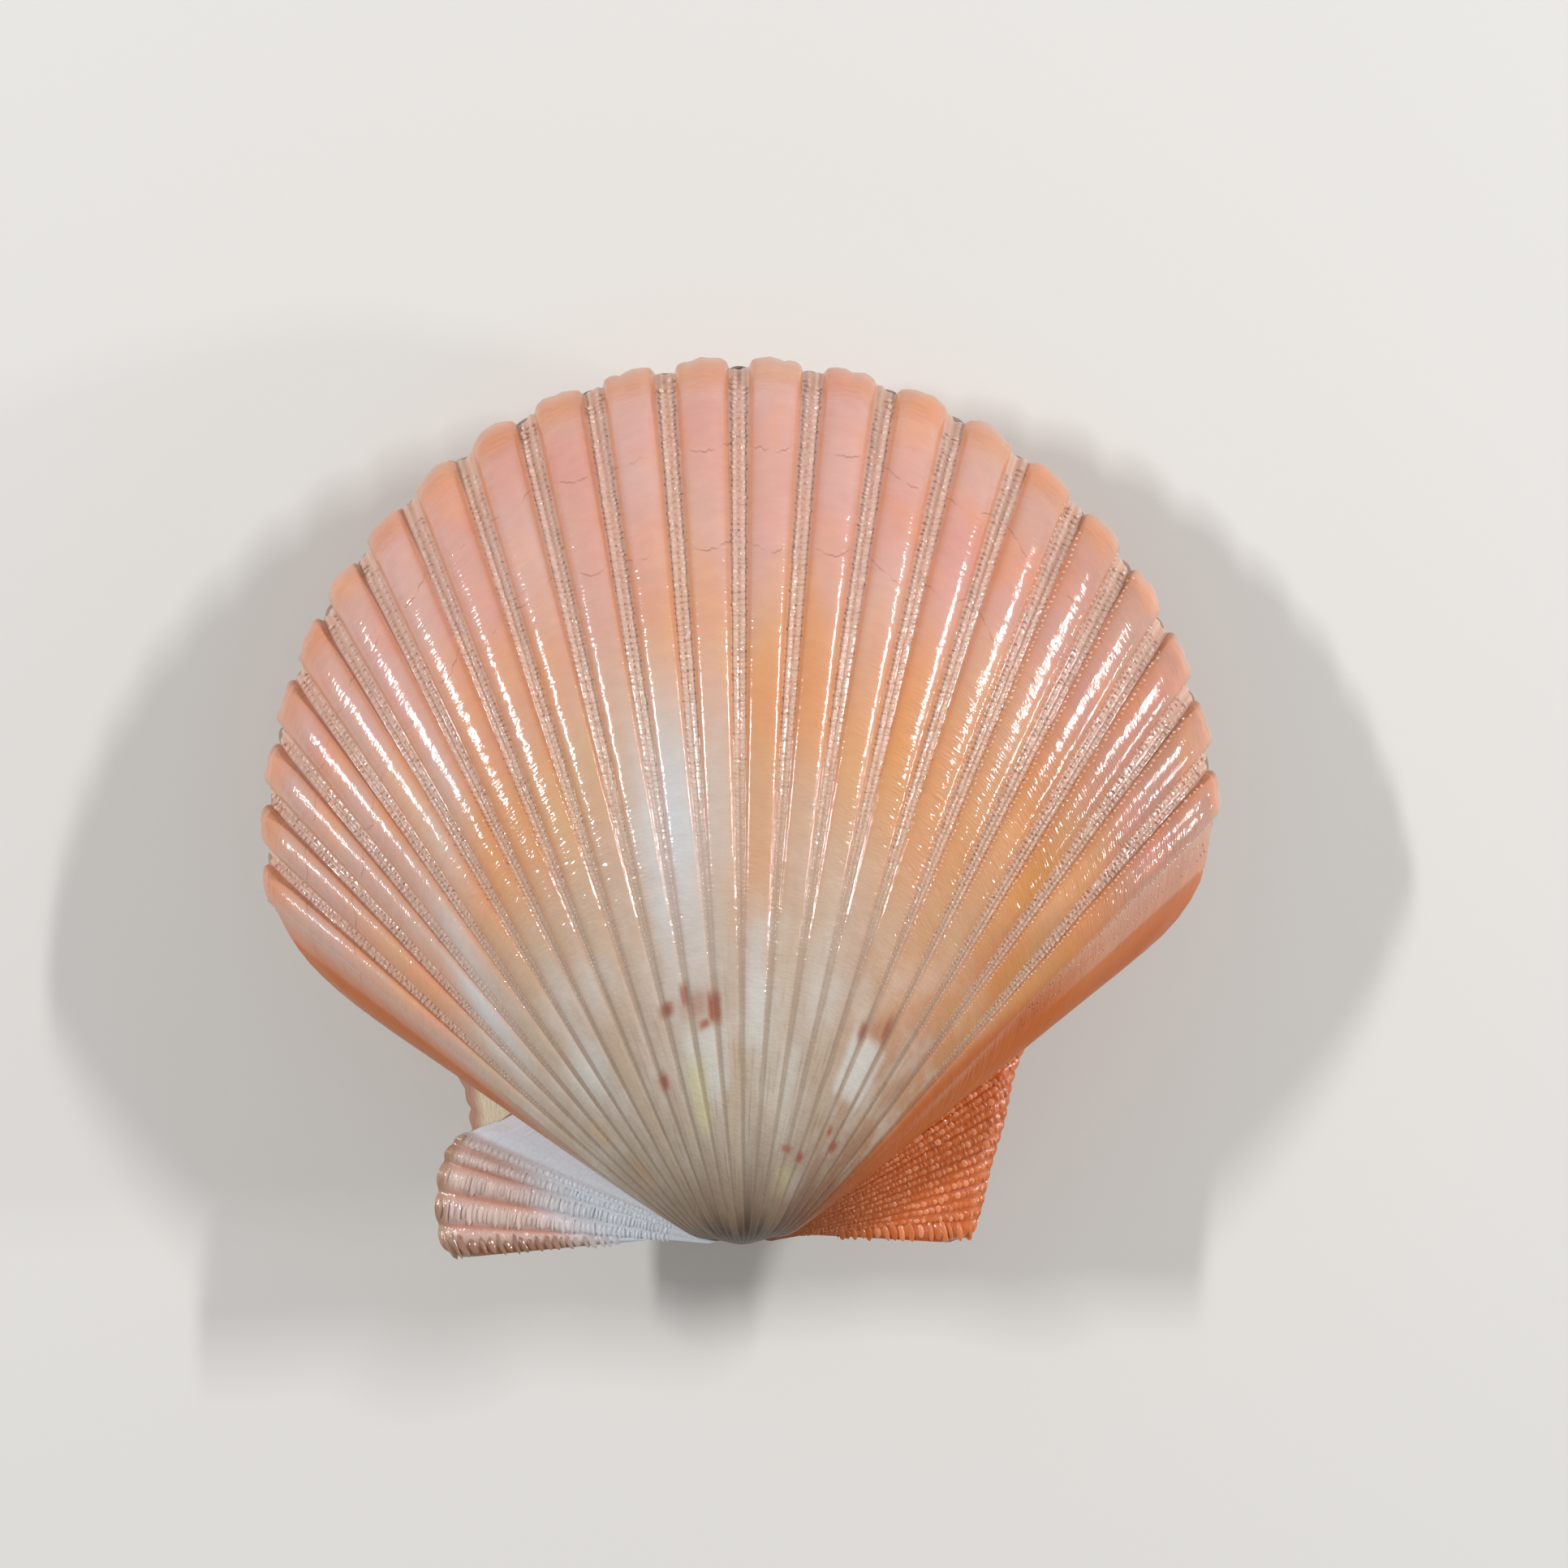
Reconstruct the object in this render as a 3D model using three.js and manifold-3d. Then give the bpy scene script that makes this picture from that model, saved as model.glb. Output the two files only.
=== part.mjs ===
// A closed scallop shell: a right valve over a left valve, and the ligament that joins them.
// Each valve is one growth surface. Its whole margin, ears and all, is drawn once in the plane
// where the valves meet, and every older stage of the shell is that margin shrunk towards the
// umbo and turned up about the hinge line.
import * as THREE from 'three';
import { mergeVertices } from 'three/addons/utils/BufferGeometryUtils.js';
import Module from 'manifold-3d';

// Sizes are in millimetres, angles in degrees. The umbo is at the origin of a valve's own plane:
// x runs along the hinge line, y towards the free edge and z up from the plane between the valves.
const DISC_RADIUS = 36.1;
const DISC_CENTRE = new THREE.Vector2(0.8, 31.0);
const VALVE_GAP = 0.3;
const RIM_THICKNESS = 0.9;
const RIM_WIDTH_SHARE = 0.045;
const UPPER_BULGE = 1.0;
const LOWER_BULGE = 0.94;

// Ribs: their angles about the umbo, from the front ear's side (left) to the back ear's side.
const RIB_COUNT = 22;
const RIB_FAN = { middle: 93.4, spread: 50.9, ease: 1.57, lean: 1.88 };
const RIB_TOP_SHARE = 0.27;
const RIB_FOOT_SHARE = 0.385;
const RIB_HEIGHT = 0.95;
const LOWER_RIB_HEIGHT = 0.85;
const MARGIN_WAVE = 0.7;

// Growth: how far the margin has turned about the hinge when it was e^-age of its present size.
const TURN_PACE = 2.1;
const TURN_POWER = 0.88;
const TURN_LATE = 0.009;
const EAR_TURN_SHARE = 0.5;
const HINGE_BOW = 0.2;
const STAGES = [1, 0.95, 0.85, 0.73, 0.61, 0.49, 0.38, 0.28, 0.195, 0.125, 0.075, 0.042];
const CAVITY_STAGES = [1, 0.9, 0.7, 0.5, 0.33, 0.2];
const CAVITY_DEPTH_SHARE = 0.93;
const WAVE_FADE = 4;
const CAVITY_WAVE_FADE = 6;

// Corners of the disc's two straight shoulders, from the arc to where an ear starts.
const LEFT_SHOULDER = { arcAngle: 142.6, corner: [-33.4, 22.6], line: [-27.4, 18.0], end: [-16.8, 10.7] };
const LOWER_LEFT_END = [-22.0, 14.6];
const RIGHT_SHOULDER = { arcAngle: 40.4, corner: [36.4, 24.6], line: [29.4, 20.2], end: [22.2, 15.6] };

// Free edges of the ears, from the hinge corner to the disc.
const NOTCHED_EAR = [[-22.6, -0.15], [-23.3, 2.6], [-23.0, 6.2], [-21.9, 8.5], [-20.0, 9.6], [-18.2, 10.0]];
const LOWER_FRONT_EAR = [[-22.6, -0.15], [-22.8, 2.4], [-21.4, 6.0], [-20.5, 9.7], [-20.8, 12.5]];
const BACK_EAR = [[17.2, -0.15], [18.2, 2.2], [19.0, 5.4], [20.1, 8.8], [20.9, 12.2]];
const EAR_THICKNESS = 1.0;
const EAR_RIB_HEIGHT = 0.35;
const FRONT_EAR_RIBS = 4;
const BACK_EAR_RIBS = 6;
const NOTCHED_EAR_RIBBED_SHARE = 0.7;
const FULL_EAR_RIBBED_SHARE = 0.9;
const BEAK_END_HEIGHT = 1.2;

// Ligament: a slim wedge in a groove along the hinge line, open at the back.
const LIGAMENT = { left: -15.5, right: 12.5, back: -0.6, front: 1.3, backHeight: 0.7, frontHeight: 0.3 };
const LIGAMENT_CLEARANCE = 0.3;

// Rest: how far the closed pair leans on its lower valve, and how deep its lowest ribs are worn flat.
const REST_LEAN = 5.2;
const WORN_DEPTH = 0.3;

const UPPER_COLOUR = 0xe9a57f;
const LOWER_COLOUR = 0xdfa27c;
const LIGAMENT_COLOUR = 0x3d2718;

const radians = THREE.MathUtils.degToRad;

/** How far an older margin has turned about the hinge line, in radians. */
function turn(scale) {
  const age = -Math.log(scale);
  return (age / TURN_PACE) ** TURN_POWER + TURN_LATE * age ** 3;
}

/** Distance from the umbo to the disc's round edge, at an angle about the umbo. */
function arcPoint(angle) {
  const direction = new THREE.Vector2(Math.cos(radians(angle)), Math.sin(radians(angle)));
  const along = direction.dot(DISC_CENTRE);
  const reach = along + Math.sqrt(along ** 2 - DISC_CENTRE.lengthSq() + DISC_RADIUS ** 2);
  return direction.multiplyScalar(reach);
}

/** Angle of a rib's middle about the umbo, for rib 0 at the front ear to the last at the back ear. */
function ribAngle(index) {
  const u = (2 * index) / (RIB_COUNT - 1) - 1;
  return RIB_FAN.middle - RIB_FAN.spread * u + RIB_FAN.ease * u ** 3 - RIB_FAN.lean * u ** 2;
}

/** A station is one place on the margin: its point, how far it rises as a rib, and its kind. */
function station(point, rise, kind) {
  return { x: point.x, y: point.y, rise, kind };
}

/** Stations across the ribs of the disc, four to a rib. */
function ribStations() {
  const stations = [];
  for (let index = 0; index < RIB_COUNT; index += 1) {
    const middle = ribAngle(index);
    const pitch = (ribAngle(index - 0.5) - ribAngle(index + 0.5));
    stations.push(station(arcPoint(middle + RIB_FOOT_SHARE * pitch), 0, 'rib'));
    stations.push(station(arcPoint(middle + RIB_TOP_SHARE * pitch), 1, 'rib'));
    stations.push(station(arcPoint(middle - RIB_TOP_SHARE * pitch), 1, 'rib'));
    stations.push(station(arcPoint(middle - RIB_FOOT_SHARE * pitch), 0, 'rib'));
  }
  return stations;
}

/** Stations along one shoulder of the disc, from its end at the ear to the round edge. */
function shoulderStations(shoulder, end) {
  const line = new THREE.Vector2(...shoulder.line);
  const corner = new THREE.Vector2(...shoulder.corner);
  const bend = new THREE.QuadraticBezierCurve(line, corner, arcPoint(shoulder.arcAngle));
  const start = new THREE.Vector2(...end);
  return [
    station(start, 0, 'crease'),
    station(start.clone().lerp(line, 0.35), 0.2, 'flank'),
    ...bend.getPoints(3).map((point) => station(point, 0.4, 'flank')),
  ];
}

/** Stations along the free edge of an ear, from the hinge corner to the disc, with its ribs. */
function earStations(outline, ribs, ribbedShare) {
  const edge = new THREE.SplineCurve(outline.map((point) => new THREE.Vector2(...point)));
  const stations = [station(edge.getPoint(0), 0, 'hinge')];
  for (let index = 1; index <= 2 * ribs; index += 1) {
    const share = (ribbedShare * (index - 0.25)) / (2 * ribs);
    stations.push(station(edge.getPoint(share), index % 2, 'ear'));
  }
  stations.push(station(edge.getPoint((1 + ribbedShare) / 2), 0, 'ear'));
  stations.push(station(edge.getPoint(1), 0, 'ear'));
  return stations;
}

/** All stations of the upper valve's margin, from the front hinge corner round to the back one. */
function upperMargin() {
  return [
    ...earStations(NOTCHED_EAR, FRONT_EAR_RIBS, NOTCHED_EAR_RIBBED_SHARE),
    ...shoulderStations(LEFT_SHOULDER, LEFT_SHOULDER.end),
    ...ribStations(),
    ...shoulderStations(RIGHT_SHOULDER, RIGHT_SHOULDER.end).reverse(),
    ...earStations(BACK_EAR, BACK_EAR_RIBS, FULL_EAR_RIBBED_SHARE).reverse(),
  ];
}

/** The lower valve's margin: no notch in its front ear, and a rib under each of the other's grooves. */
function lowerMargin() {
  const ribs = ribStations().map((one) => ({ ...one, rise: 1 - one.rise }));
  return [
    ...earStations(LOWER_FRONT_EAR, FRONT_EAR_RIBS, FULL_EAR_RIBBED_SHARE),
    ...shoulderStations(LEFT_SHOULDER, LOWER_LEFT_END),
    ...ribs,
    ...shoulderStations(RIGHT_SHOULDER, RIGHT_SHOULDER.end).reverse(),
    ...earStations(BACK_EAR, BACK_EAR_RIBS, FULL_EAR_RIBBED_SHARE).reverse(),
  ];
}

/** Height of the wavy line where the two valves meet: each rib's end is lifted, each groove's lowered. */
function marginWave(one) {
  return one.kind === 'rib' ? MARGIN_WAVE * (one.rise - 0.5) : 0;
}

/** The smooth growth surface, without ribs or thickness. */
function growthPoint(one, scale, bulge) {
  const steep = one.kind === 'flank' || one.kind === 'rib';
  const angle = (steep ? 1 : EAR_TURN_SHARE) * turn(scale);
  const bow = one.kind === 'hinge' ? HINGE_BOW * 4 * scale * (1 - scale) : 0;
  const reach = one.y * scale + bow;
  return new THREE.Vector3(one.x * scale, reach * Math.cos(angle), bulge * reach * Math.sin(angle));
}

/** Unit normal of the growth surface on the disc, pointing out of the shell. */
function growthNormal(one, scale, bulge) {
  const step = 0.002;
  const older = growthPoint(one, scale - step, bulge);
  const here = growthPoint(one, scale, bulge);
  const fromCentre = new THREE.Vector2(one.x, one.y).sub(DISC_CENTRE);
  const beside = { ...one, x: one.x + step * fromCentre.y, y: one.y - step * fromCentre.x };
  const across = growthPoint(beside, scale, bulge).sub(here);
  return across.cross(here.clone().sub(older)).normalize();
}

/** A point of the outer face at one station and growth stage. */
function outerPoint(one, scale, style) {
  const point = growthPoint(one, scale, style.bulge);
  if (one.kind === 'rib') {
    const relief = style.ribHeight * one.rise * scale;
    point.addScaledVector(growthNormal(one, scale, style.bulge), relief);
    point.z += marginWave(one) * scale ** WAVE_FADE + VALVE_GAP / 2 + RIM_THICKNESS;
    return point;
  }
  const earRib = one.kind === 'ear' ? EAR_RIB_HEIGHT * one.rise * scale : 0;
  const thickness = one.kind === 'flank' ? RIM_THICKNESS : EAR_THICKNESS;
  point.z += VALVE_GAP / 2 + thickness + earRib;
  return point;
}

/** A point of the cavity's face: the growth surface drawn in towards the disc's centre. */
function cavityPoint(one, scale, style) {
  const point = growthPoint(one, scale, style.bulge);
  const keep = 1 - RIM_WIDTH_SHARE;
  const x = DISC_CENTRE.x + (point.x - DISC_CENTRE.x) * keep;
  const y = DISC_CENTRE.y + (point.y - DISC_CENTRE.y) * keep;
  const depth = one.kind === 'crease' ? 0 : point.z * CAVITY_DEPTH_SHARE;
  const wave = marginWave(one) * scale ** CAVITY_WAVE_FADE;
  return new THREE.Vector3(x, y, depth + wave + VALVE_GAP / 2);
}

/** Gathers points and triangles of one closed skin. */
class Skin {
  constructor() {
    this.positions = [];
    this.triangles = [];
  }

  point(vector) {
    this.positions.push(vector.x, vector.y, vector.z);
    return this.positions.length / 3 - 1;
  }

  row(vectors) {
    return vectors.map((vector) => this.point(vector));
  }

  strip(first, second) {
    for (let i = 0; i + 1 < first.length; i += 1) {
      this.triangles.push(first[i], second[i + 1], second[i], first[i], first[i + 1], second[i + 1]);
    }
  }

  flat(loop) {
    const contour = loop.map((i) => new THREE.Vector2(this.positions[3 * i], this.positions[3 * i + 1]));
    const clockwise = THREE.ShapeUtils.area(contour) < 0;
    for (const [a, b, c] of THREE.ShapeUtils.triangulateShape(contour, [])) {
      const [first, second, third] = clockwise ? [a, c, b] : [a, b, c];
      this.triangles.push(loop[first], loop[second], loop[third]);
    }
  }

  fan(loop, centre) {
    const middle = this.point(centre);
    loop.forEach((index, i) => this.triangles.push(middle, loop[(i + 1) % loop.length], index));
  }

  geometry() {
    const geometry = new THREE.BufferGeometry();
    geometry.setAttribute('position', new THREE.Float32BufferAttribute(this.positions, 3));
    geometry.setIndex(this.triangles);
    return mergeVertices(geometry, 1e-4);
  }
}

/** One valve with its bulge upwards: outer face, rim, cavity and the flat under its ears and hinge. */
function valveGeometry(margin, style) {
  const skin = new Skin();
  const outer = STAGES.map((scale) => skin.row(margin.map((one) => outerPoint(one, scale, style))));
  for (let i = 0; i + 1 < outer.length; i += 1) skin.strip(outer[i + 1], outer[i]);

  const dropped = (index, height) => {
    const [x, y] = skin.positions.slice(3 * index, 3 * index + 2);
    return skin.point(new THREE.Vector3(x, y, height));
  };
  const rim = outer[0].map((index, i) => {
    return dropped(index, marginWave(margin[i]) + VALVE_GAP / 2);
  });
  skin.strip(outer[0], rim);

  const first = margin.findIndex((one) => one.kind === 'crease');
  const last = margin.length - 1 - [...margin].reverse().findIndex((one) => one.kind === 'crease');
  const disc = margin.slice(first, last + 1);
  const cavity = CAVITY_STAGES.map((scale) => skin.row(disc.map((one) => cavityPoint(one, scale, style))));
  skin.strip(rim.slice(first, last + 1), cavity[0]);
  for (let i = 0; i + 1 < cavity.length; i += 1) skin.strip(cavity[i], cavity[i + 1]);
  const floorLine = cavity.at(-1).map((index) => dropped(index, VALVE_GAP / 2));
  skin.strip(cavity.at(-1), floorLine);

  const leftHinge = outer.slice(1).map((row) => dropped(row[0], VALVE_GAP / 2));
  const rightHinge = outer.slice(1).map((row) => dropped(row.at(-1), VALVE_GAP / 2));
  skin.strip([rim[0], ...leftHinge], outer.map((row) => row[0]));
  skin.strip(outer.map((row) => row.at(-1)), [rim.at(-1), ...rightHinge]);
  skin.fan([leftHinge.at(-1), ...outer.at(-1), rightHinge.at(-1)], new THREE.Vector3(0, 0, BEAK_END_HEIGHT));

  skin.flat([
    ...rim.slice(0, first + 1),
    ...cavity.map((row) => row[0]),
    ...floorLine,
    ...cavity.map((row) => row.at(-1)).reverse(),
    ...rim.slice(last),
    ...rightHinge,
    ...leftHinge.reverse(),
  ]);
  return skin.geometry();
}

/** The ligament's wedge, or the wider room that is cut for it. */
function ligamentGeometry(clearance) {
  const { left, right, back, front, backHeight, frontHeight } = LIGAMENT;
  const tall = backHeight / 2 + clearance;
  const low = frontHeight / 2 + clearance;
  const open = clearance > 0 ? 1 : 0;
  const section = new THREE.Shape();
  section.moveTo(back - open, -tall);
  section.lineTo(front + clearance, -low);
  section.lineTo(front + clearance, low);
  section.lineTo(back - open, tall);
  section.closePath();
  const length = right - left + 2 * clearance;
  const wedge = new THREE.ExtrudeGeometry(section, { depth: length, bevelEnabled: false });
  wedge.applyMatrix4(new THREE.Matrix4().makeBasis(
    new THREE.Vector3(0, 1, 0), new THREE.Vector3(0, 0, 1), new THREE.Vector3(1, 0, 0)));
  wedge.translate(left - clearance, 0, 0);
  return wedge;
}

const wasm = await Module();
wasm.setup();

/** A closed mesh as a solid that can be cut. */
function toSolid(geometry) {
  const bare = geometry.clone();
  bare.deleteAttribute('normal');
  bare.deleteAttribute('uv');
  const merged = mergeVertices(bare, 1e-4);
  return new wasm.Manifold(new wasm.Mesh({
    numProp: 3,
    vertProperties: new Float32Array(merged.attributes.position.array),
    triVerts: new Uint32Array(merged.index.array),
  }));
}

/** A cut solid back as a mesh. */
function toGeometry(solid) {
  const { vertProperties, triVerts } = solid.getMesh();
  const geometry = new THREE.BufferGeometry();
  geometry.setAttribute('position', new THREE.Float32BufferAttribute(vertProperties, 3));
  geometry.setIndex([...triVerts]);
  return geometry;
}

/** Turns a valve upside down, about the plane between the valves. */
function turnedOver(geometry) {
  const index = geometry.index.array;
  geometry.scale(1, 1, -1);
  for (let i = 0; i < index.length; i += 3) [index[i], index[i + 1]] = [index[i + 1], index[i]];
  return geometry;
}

/** Lays the closed pair down as it rests and wears its lowest ribs flat. */
function layToRest(geometries) {
  const box = new THREE.Box3();
  for (const geometry of geometries) {
    geometry.rotateX(radians(-REST_LEAN));
    geometry.computeBoundingBox();
    box.union(geometry.boundingBox);
  }
  const floor = box.min.z + WORN_DEPTH;
  const middle = box.getCenter(new THREE.Vector3());
  for (const geometry of geometries) {
    const place = geometry.attributes.position;
    for (let i = 0; i < place.count; i += 1) place.setZ(i, Math.max(place.getZ(i), floor));
    geometry.translate(-middle.x, -middle.y, -floor);
  }
}

/** One named piece in its own colour. */
function piece(name, geometry, color, roughness) {
  geometry.computeVertexNormals();
  const mesh = new THREE.Mesh(geometry, new THREE.MeshStandardMaterial({ color, roughness, metalness: 0 }));
  mesh.name = name;
  return mesh;
}

const groove = toSolid(ligamentGeometry(LIGAMENT_CLEARANCE));
const upperStyle = { bulge: UPPER_BULGE, ribHeight: RIB_HEIGHT };
const lowerStyle = { bulge: LOWER_BULGE, ribHeight: LOWER_RIB_HEIGHT };
const upperSkin = valveGeometry(upperMargin(), upperStyle);
const lowerSkin = turnedOver(valveGeometry(lowerMargin(), lowerStyle));
const upper = toGeometry(toSolid(upperSkin).subtract(groove));
const lower = toGeometry(toSolid(lowerSkin).subtract(groove));
const ligament = toGeometry(toSolid(ligamentGeometry(0)));
layToRest([upper, lower, ligament]);

const scallop = new THREE.Group();
scallop.add(piece('upper_valve', upper, UPPER_COLOUR, 0.35));
scallop.add(piece('lower_valve', lower, LOWER_COLOUR, 0.4));
scallop.add(piece('hinge_ligament', ligament, LIGAMENT_COLOUR, 0.7));

export default scallop;
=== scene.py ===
"""A closed scallop shell: two ribbed valves with scaly riblets, and the ligament between them.

Sizes are in millimetres and become metres when a mesh is made. A valve is worked out in its own
plane, with the umbo at the origin, x along the hinge line, y towards the free edge and z up from
the plane where the valves meet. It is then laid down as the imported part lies.
"""

import logging
import math
from dataclasses import dataclass, field
from enum import Enum

import bmesh
import bpy
import numpy as np
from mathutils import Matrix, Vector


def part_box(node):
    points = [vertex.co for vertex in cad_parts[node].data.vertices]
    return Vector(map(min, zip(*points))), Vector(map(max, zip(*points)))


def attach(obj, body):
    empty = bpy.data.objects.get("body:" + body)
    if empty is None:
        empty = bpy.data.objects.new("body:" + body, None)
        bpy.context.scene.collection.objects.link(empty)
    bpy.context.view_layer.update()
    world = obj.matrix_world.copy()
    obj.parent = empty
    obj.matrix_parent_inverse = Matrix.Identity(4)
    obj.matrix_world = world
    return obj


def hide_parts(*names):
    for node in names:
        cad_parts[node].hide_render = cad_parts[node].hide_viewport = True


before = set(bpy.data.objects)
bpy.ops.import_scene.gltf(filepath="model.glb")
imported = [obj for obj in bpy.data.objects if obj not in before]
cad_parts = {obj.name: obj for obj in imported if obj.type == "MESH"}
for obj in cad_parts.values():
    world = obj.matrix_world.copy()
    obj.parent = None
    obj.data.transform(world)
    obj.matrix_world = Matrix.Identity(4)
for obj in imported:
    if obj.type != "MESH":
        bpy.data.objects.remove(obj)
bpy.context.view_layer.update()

LOG = logging.getLogger("scallop")
Array = np.ndarray
Point = tuple[float, float]
Colour = tuple[float, float, float, float]

METRES_PER_MM = 0.001
SEED = 20
# Growth stages above this are the present margin.
PRESENT = 0.9999
# The curve between a colour on a screen and its light value.
SRGB_KNEE, SRGB_SLOPE, SRGB_LIFT, SRGB_POWER = 0.04045, 12.92, 0.055, 2.4


def paint(red: int, green: int, blue: int) -> Colour:
    """A colour as it looks on a screen, from 0 to 255, as the light values that a shader takes.

    Args:
        red: Red, from 0 to 255.
        green: Green, from 0 to 255.
        blue: Blue, from 0 to 255.

    Returns:
        The colour with full alpha.
    """

    def light(level: int) -> float:
        """One channel as a light value.

        Args:
            level: The channel on the screen, from 0 to 255.

        Returns:
            Its light value, from 0 to 1.
        """
        share = level / 255
        if share <= SRGB_KNEE:
            return share / SRGB_SLOPE
        return ((share + SRGB_LIFT) / (1 + SRGB_LIFT)) ** SRGB_POWER

    return (light(red), light(green), light(blue), 1.0)


def ease(low: float, high: float, value: Array) -> Array:
    """A smooth step from 0 where value is low to 1 where it is high."""
    share = np.clip((np.asarray(value, float) - low) / (high - low), 0.0, 1.0)
    return share * share * (3 - 2 * share)


def wander(value: Array, seed: int, waves: int = 5) -> Array:
    """Smooth random ups and downs along a line, about -1 to 1, one wave or so to each unit.

    Args:
        value: Places along the line.
        seed: Picks the waves.
        waves: How many waves are added up.

    Returns:
        The height at each place.
    """
    rng = np.random.default_rng(seed)
    total = np.zeros_like(np.asarray(value, float))
    for pace, start in zip(rng.uniform(0.5, 2.6, waves), rng.uniform(0, 2 * math.pi, waves)):
        total += np.sin(2 * math.pi * pace * value + start)
    return total / waves * 1.6


def unit(vectors: Array) -> Array:
    """The vectors with length 1."""
    return vectors / np.maximum(np.linalg.norm(vectors, axis=-1, keepdims=True), 1e-12)


# ---------------------------------------------------------------- how the shell grows


@dataclass(frozen=True)
class GrowthPlan:
    """How every margin, young or old, is drawn: its edge, its ribs and its turn about the hinge."""

    centre: Point = (0.8, 31.0)
    radius: float = 36.1
    pace: float = 2.1
    power: float = 0.88
    late: float = 0.009
    ear_share: float = 0.5
    ribs: int = 22
    fan_middle: float = 93.4
    fan_spread: float = 50.9
    fan_ease: float = 1.57
    fan_lean: float = 1.88
    last_rib_foot: float = 0.385
    hinge_bow: float = 1.25
    bow_reach: float = 0.35
    beak_forward: float = 1.3
    beak_reach: float = 0.12

    def ends(self) -> Point:
        """The rib numbers where the ribbed stretch of the margin starts and ends."""
        return -self.last_rib_foot, self.ribs - 1 + self.last_rib_foot

    def bow(self, scale: Array) -> Array:
        """How far the hinge edge of the ears is drawn towards the free edge, by growth stage."""
        return self.hinge_bow * (1 - scale) * ease(0.0, 0.14, scale) * ease(1.0, 0.93, scale)

    def forward(self, scale: Array) -> Array:
        """How far the beak is drawn towards the free edge, by growth stage."""
        return self.beak_forward * (1 - ease(0.0, self.beak_reach, scale))

    def turn(self, scale: Array) -> Array:
        """How far a margin of this share of the present size has turned about the hinge line."""
        age = -np.log(scale)
        return (age / self.pace) ** self.power + self.late * age**3

    def arc(self, degrees: Array) -> Array:
        """Points of the disc's round edge at angles about the umbo.

        Args:
            degrees: Angles about the umbo, counted from the hinge line.

        Returns:
            One (x, y) for each angle.
        """
        angle = np.radians(degrees)
        way = np.stack([np.cos(angle), np.sin(angle)], -1)
        centre = np.array(self.centre)
        along = way @ centre
        reach = along + np.sqrt(along**2 - centre @ centre + self.radius**2)
        return way * reach[..., None]

    def rib_edge(self, rib: Array) -> Array:
        """Points of the disc's edge at rib numbers.

        Args:
            rib: Rib numbers, 0 being the rib by the front ear.

        Returns:
            One (x, y) for each rib number.
        """
        u = 2 * np.asarray(rib, float) / (self.ribs - 1) - 1
        fan = self.fan_middle - self.fan_spread * u + self.fan_ease * u**3 - self.fan_lean * u**2
        return self.arc(fan)


def smooth_line(points: tuple[Point, ...], shares: Array) -> Array:
    """A smooth curve through points, at shares of the way from its first to its last.

    Args:
        points: The corners that the curve goes through.
        shares: Where to read it, from 0 to 1.

    Returns:
        One (x, y) for each share.
    """
    corners = np.array(points, float)
    place = np.clip(np.asarray(shares, float), 0, 1) * (len(corners) - 1)
    first = np.minimum(place.astype(int), len(corners) - 2)
    t = (place - first)[..., None]
    p1, p2 = corners[first], corners[first + 1]
    p0, p3 = corners[np.maximum(first - 1, 0)], corners[np.minimum(first + 2, len(corners) - 1)]
    bend = (2 * p0 - 5 * p1 + 4 * p2 - p3) * t**2 + (3 * p1 - p0 - 3 * p2 + p3) * t**3
    return 0.5 * (2 * p1 + (p2 - p0) * t + bend)


@dataclass(frozen=True)
class Shoulder:
    """One straight side of the disc, from its end at an ear to the round edge."""

    end: Point
    line: Point
    corner: Point
    arc_angle: float

    def points(self, plan: GrowthPlan, straight: int, bent: int) -> Array:
        """Points from the ear to the round edge.

        Args:
            plan: Gives the round edge.
            straight: How many points the straight stretch has.
            bent: How many the bend has, its last one on the round edge left out.

        Returns:
            The points in order.
        """
        end, line, corner = (np.array(p, float) for p in (self.end, self.line, self.corner))
        run = np.linspace(0, 1, straight)[:, None]
        t = np.linspace(0, 1, bent + 2)[1:-1, None]
        meet = plan.arc(np.array(self.arc_angle))
        bend = line * (1 - t) ** 2 + 2 * corner * t * (1 - t) + meet * t**2
        return np.concatenate([end + (line - end) * run, bend])


@dataclass(frozen=True)
class Ear:
    """The free edge of an ear from its hinge corner to the disc, with its riblets.

    Each riblet is given by its height above the hinge line on the free edge and its half width.
    """

    outline: tuple[Point, ...]
    riblets: tuple[Point, ...]
    riblet_height: float
    lobe: float = 0.2
    readings: int = 600

    def edge(self, across: Array) -> Array:
        """Points of the free edge, at shares of its length from the hinge corner.

        Args:
            across: Shares of its length, from 0 at the hinge corner to 1 at the disc.

        Returns:
            One (x, y) for each share.
        """
        run = np.linspace(0, 1, self.readings)
        line = smooth_line(self.outline, run)
        length = np.concatenate([[0], np.cumsum(np.linalg.norm(np.diff(line, axis=0), axis=1))])
        return smooth_line(self.outline, np.interp(across, length / length[-1], run))

    def across_at(self, height: float) -> float:
        """How far across the ear its free edge has a height."""
        across = np.linspace(0, 1, self.readings)
        return float(np.interp(height, self.edge(across)[:, 1], across))

    def profile(self, across: Array) -> Array:
        """How far each place across the ear stands up as a riblet, from 0 to 1.

        Args:
            across: Shares of the free edge's length.

        Returns:
            The rise of each place.
        """
        height = self.edge(across)[..., 1]
        stands = [1 - ((height - middle) / half) ** 2 for middle, half in self.riblets]
        return np.clip(np.max(stands, axis=0), 0, 1)


class Zone(Enum):
    """The parts of a valve's margin."""

    FRONT_EAR = 0
    DISC = 1
    BACK_EAR = 2


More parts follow.
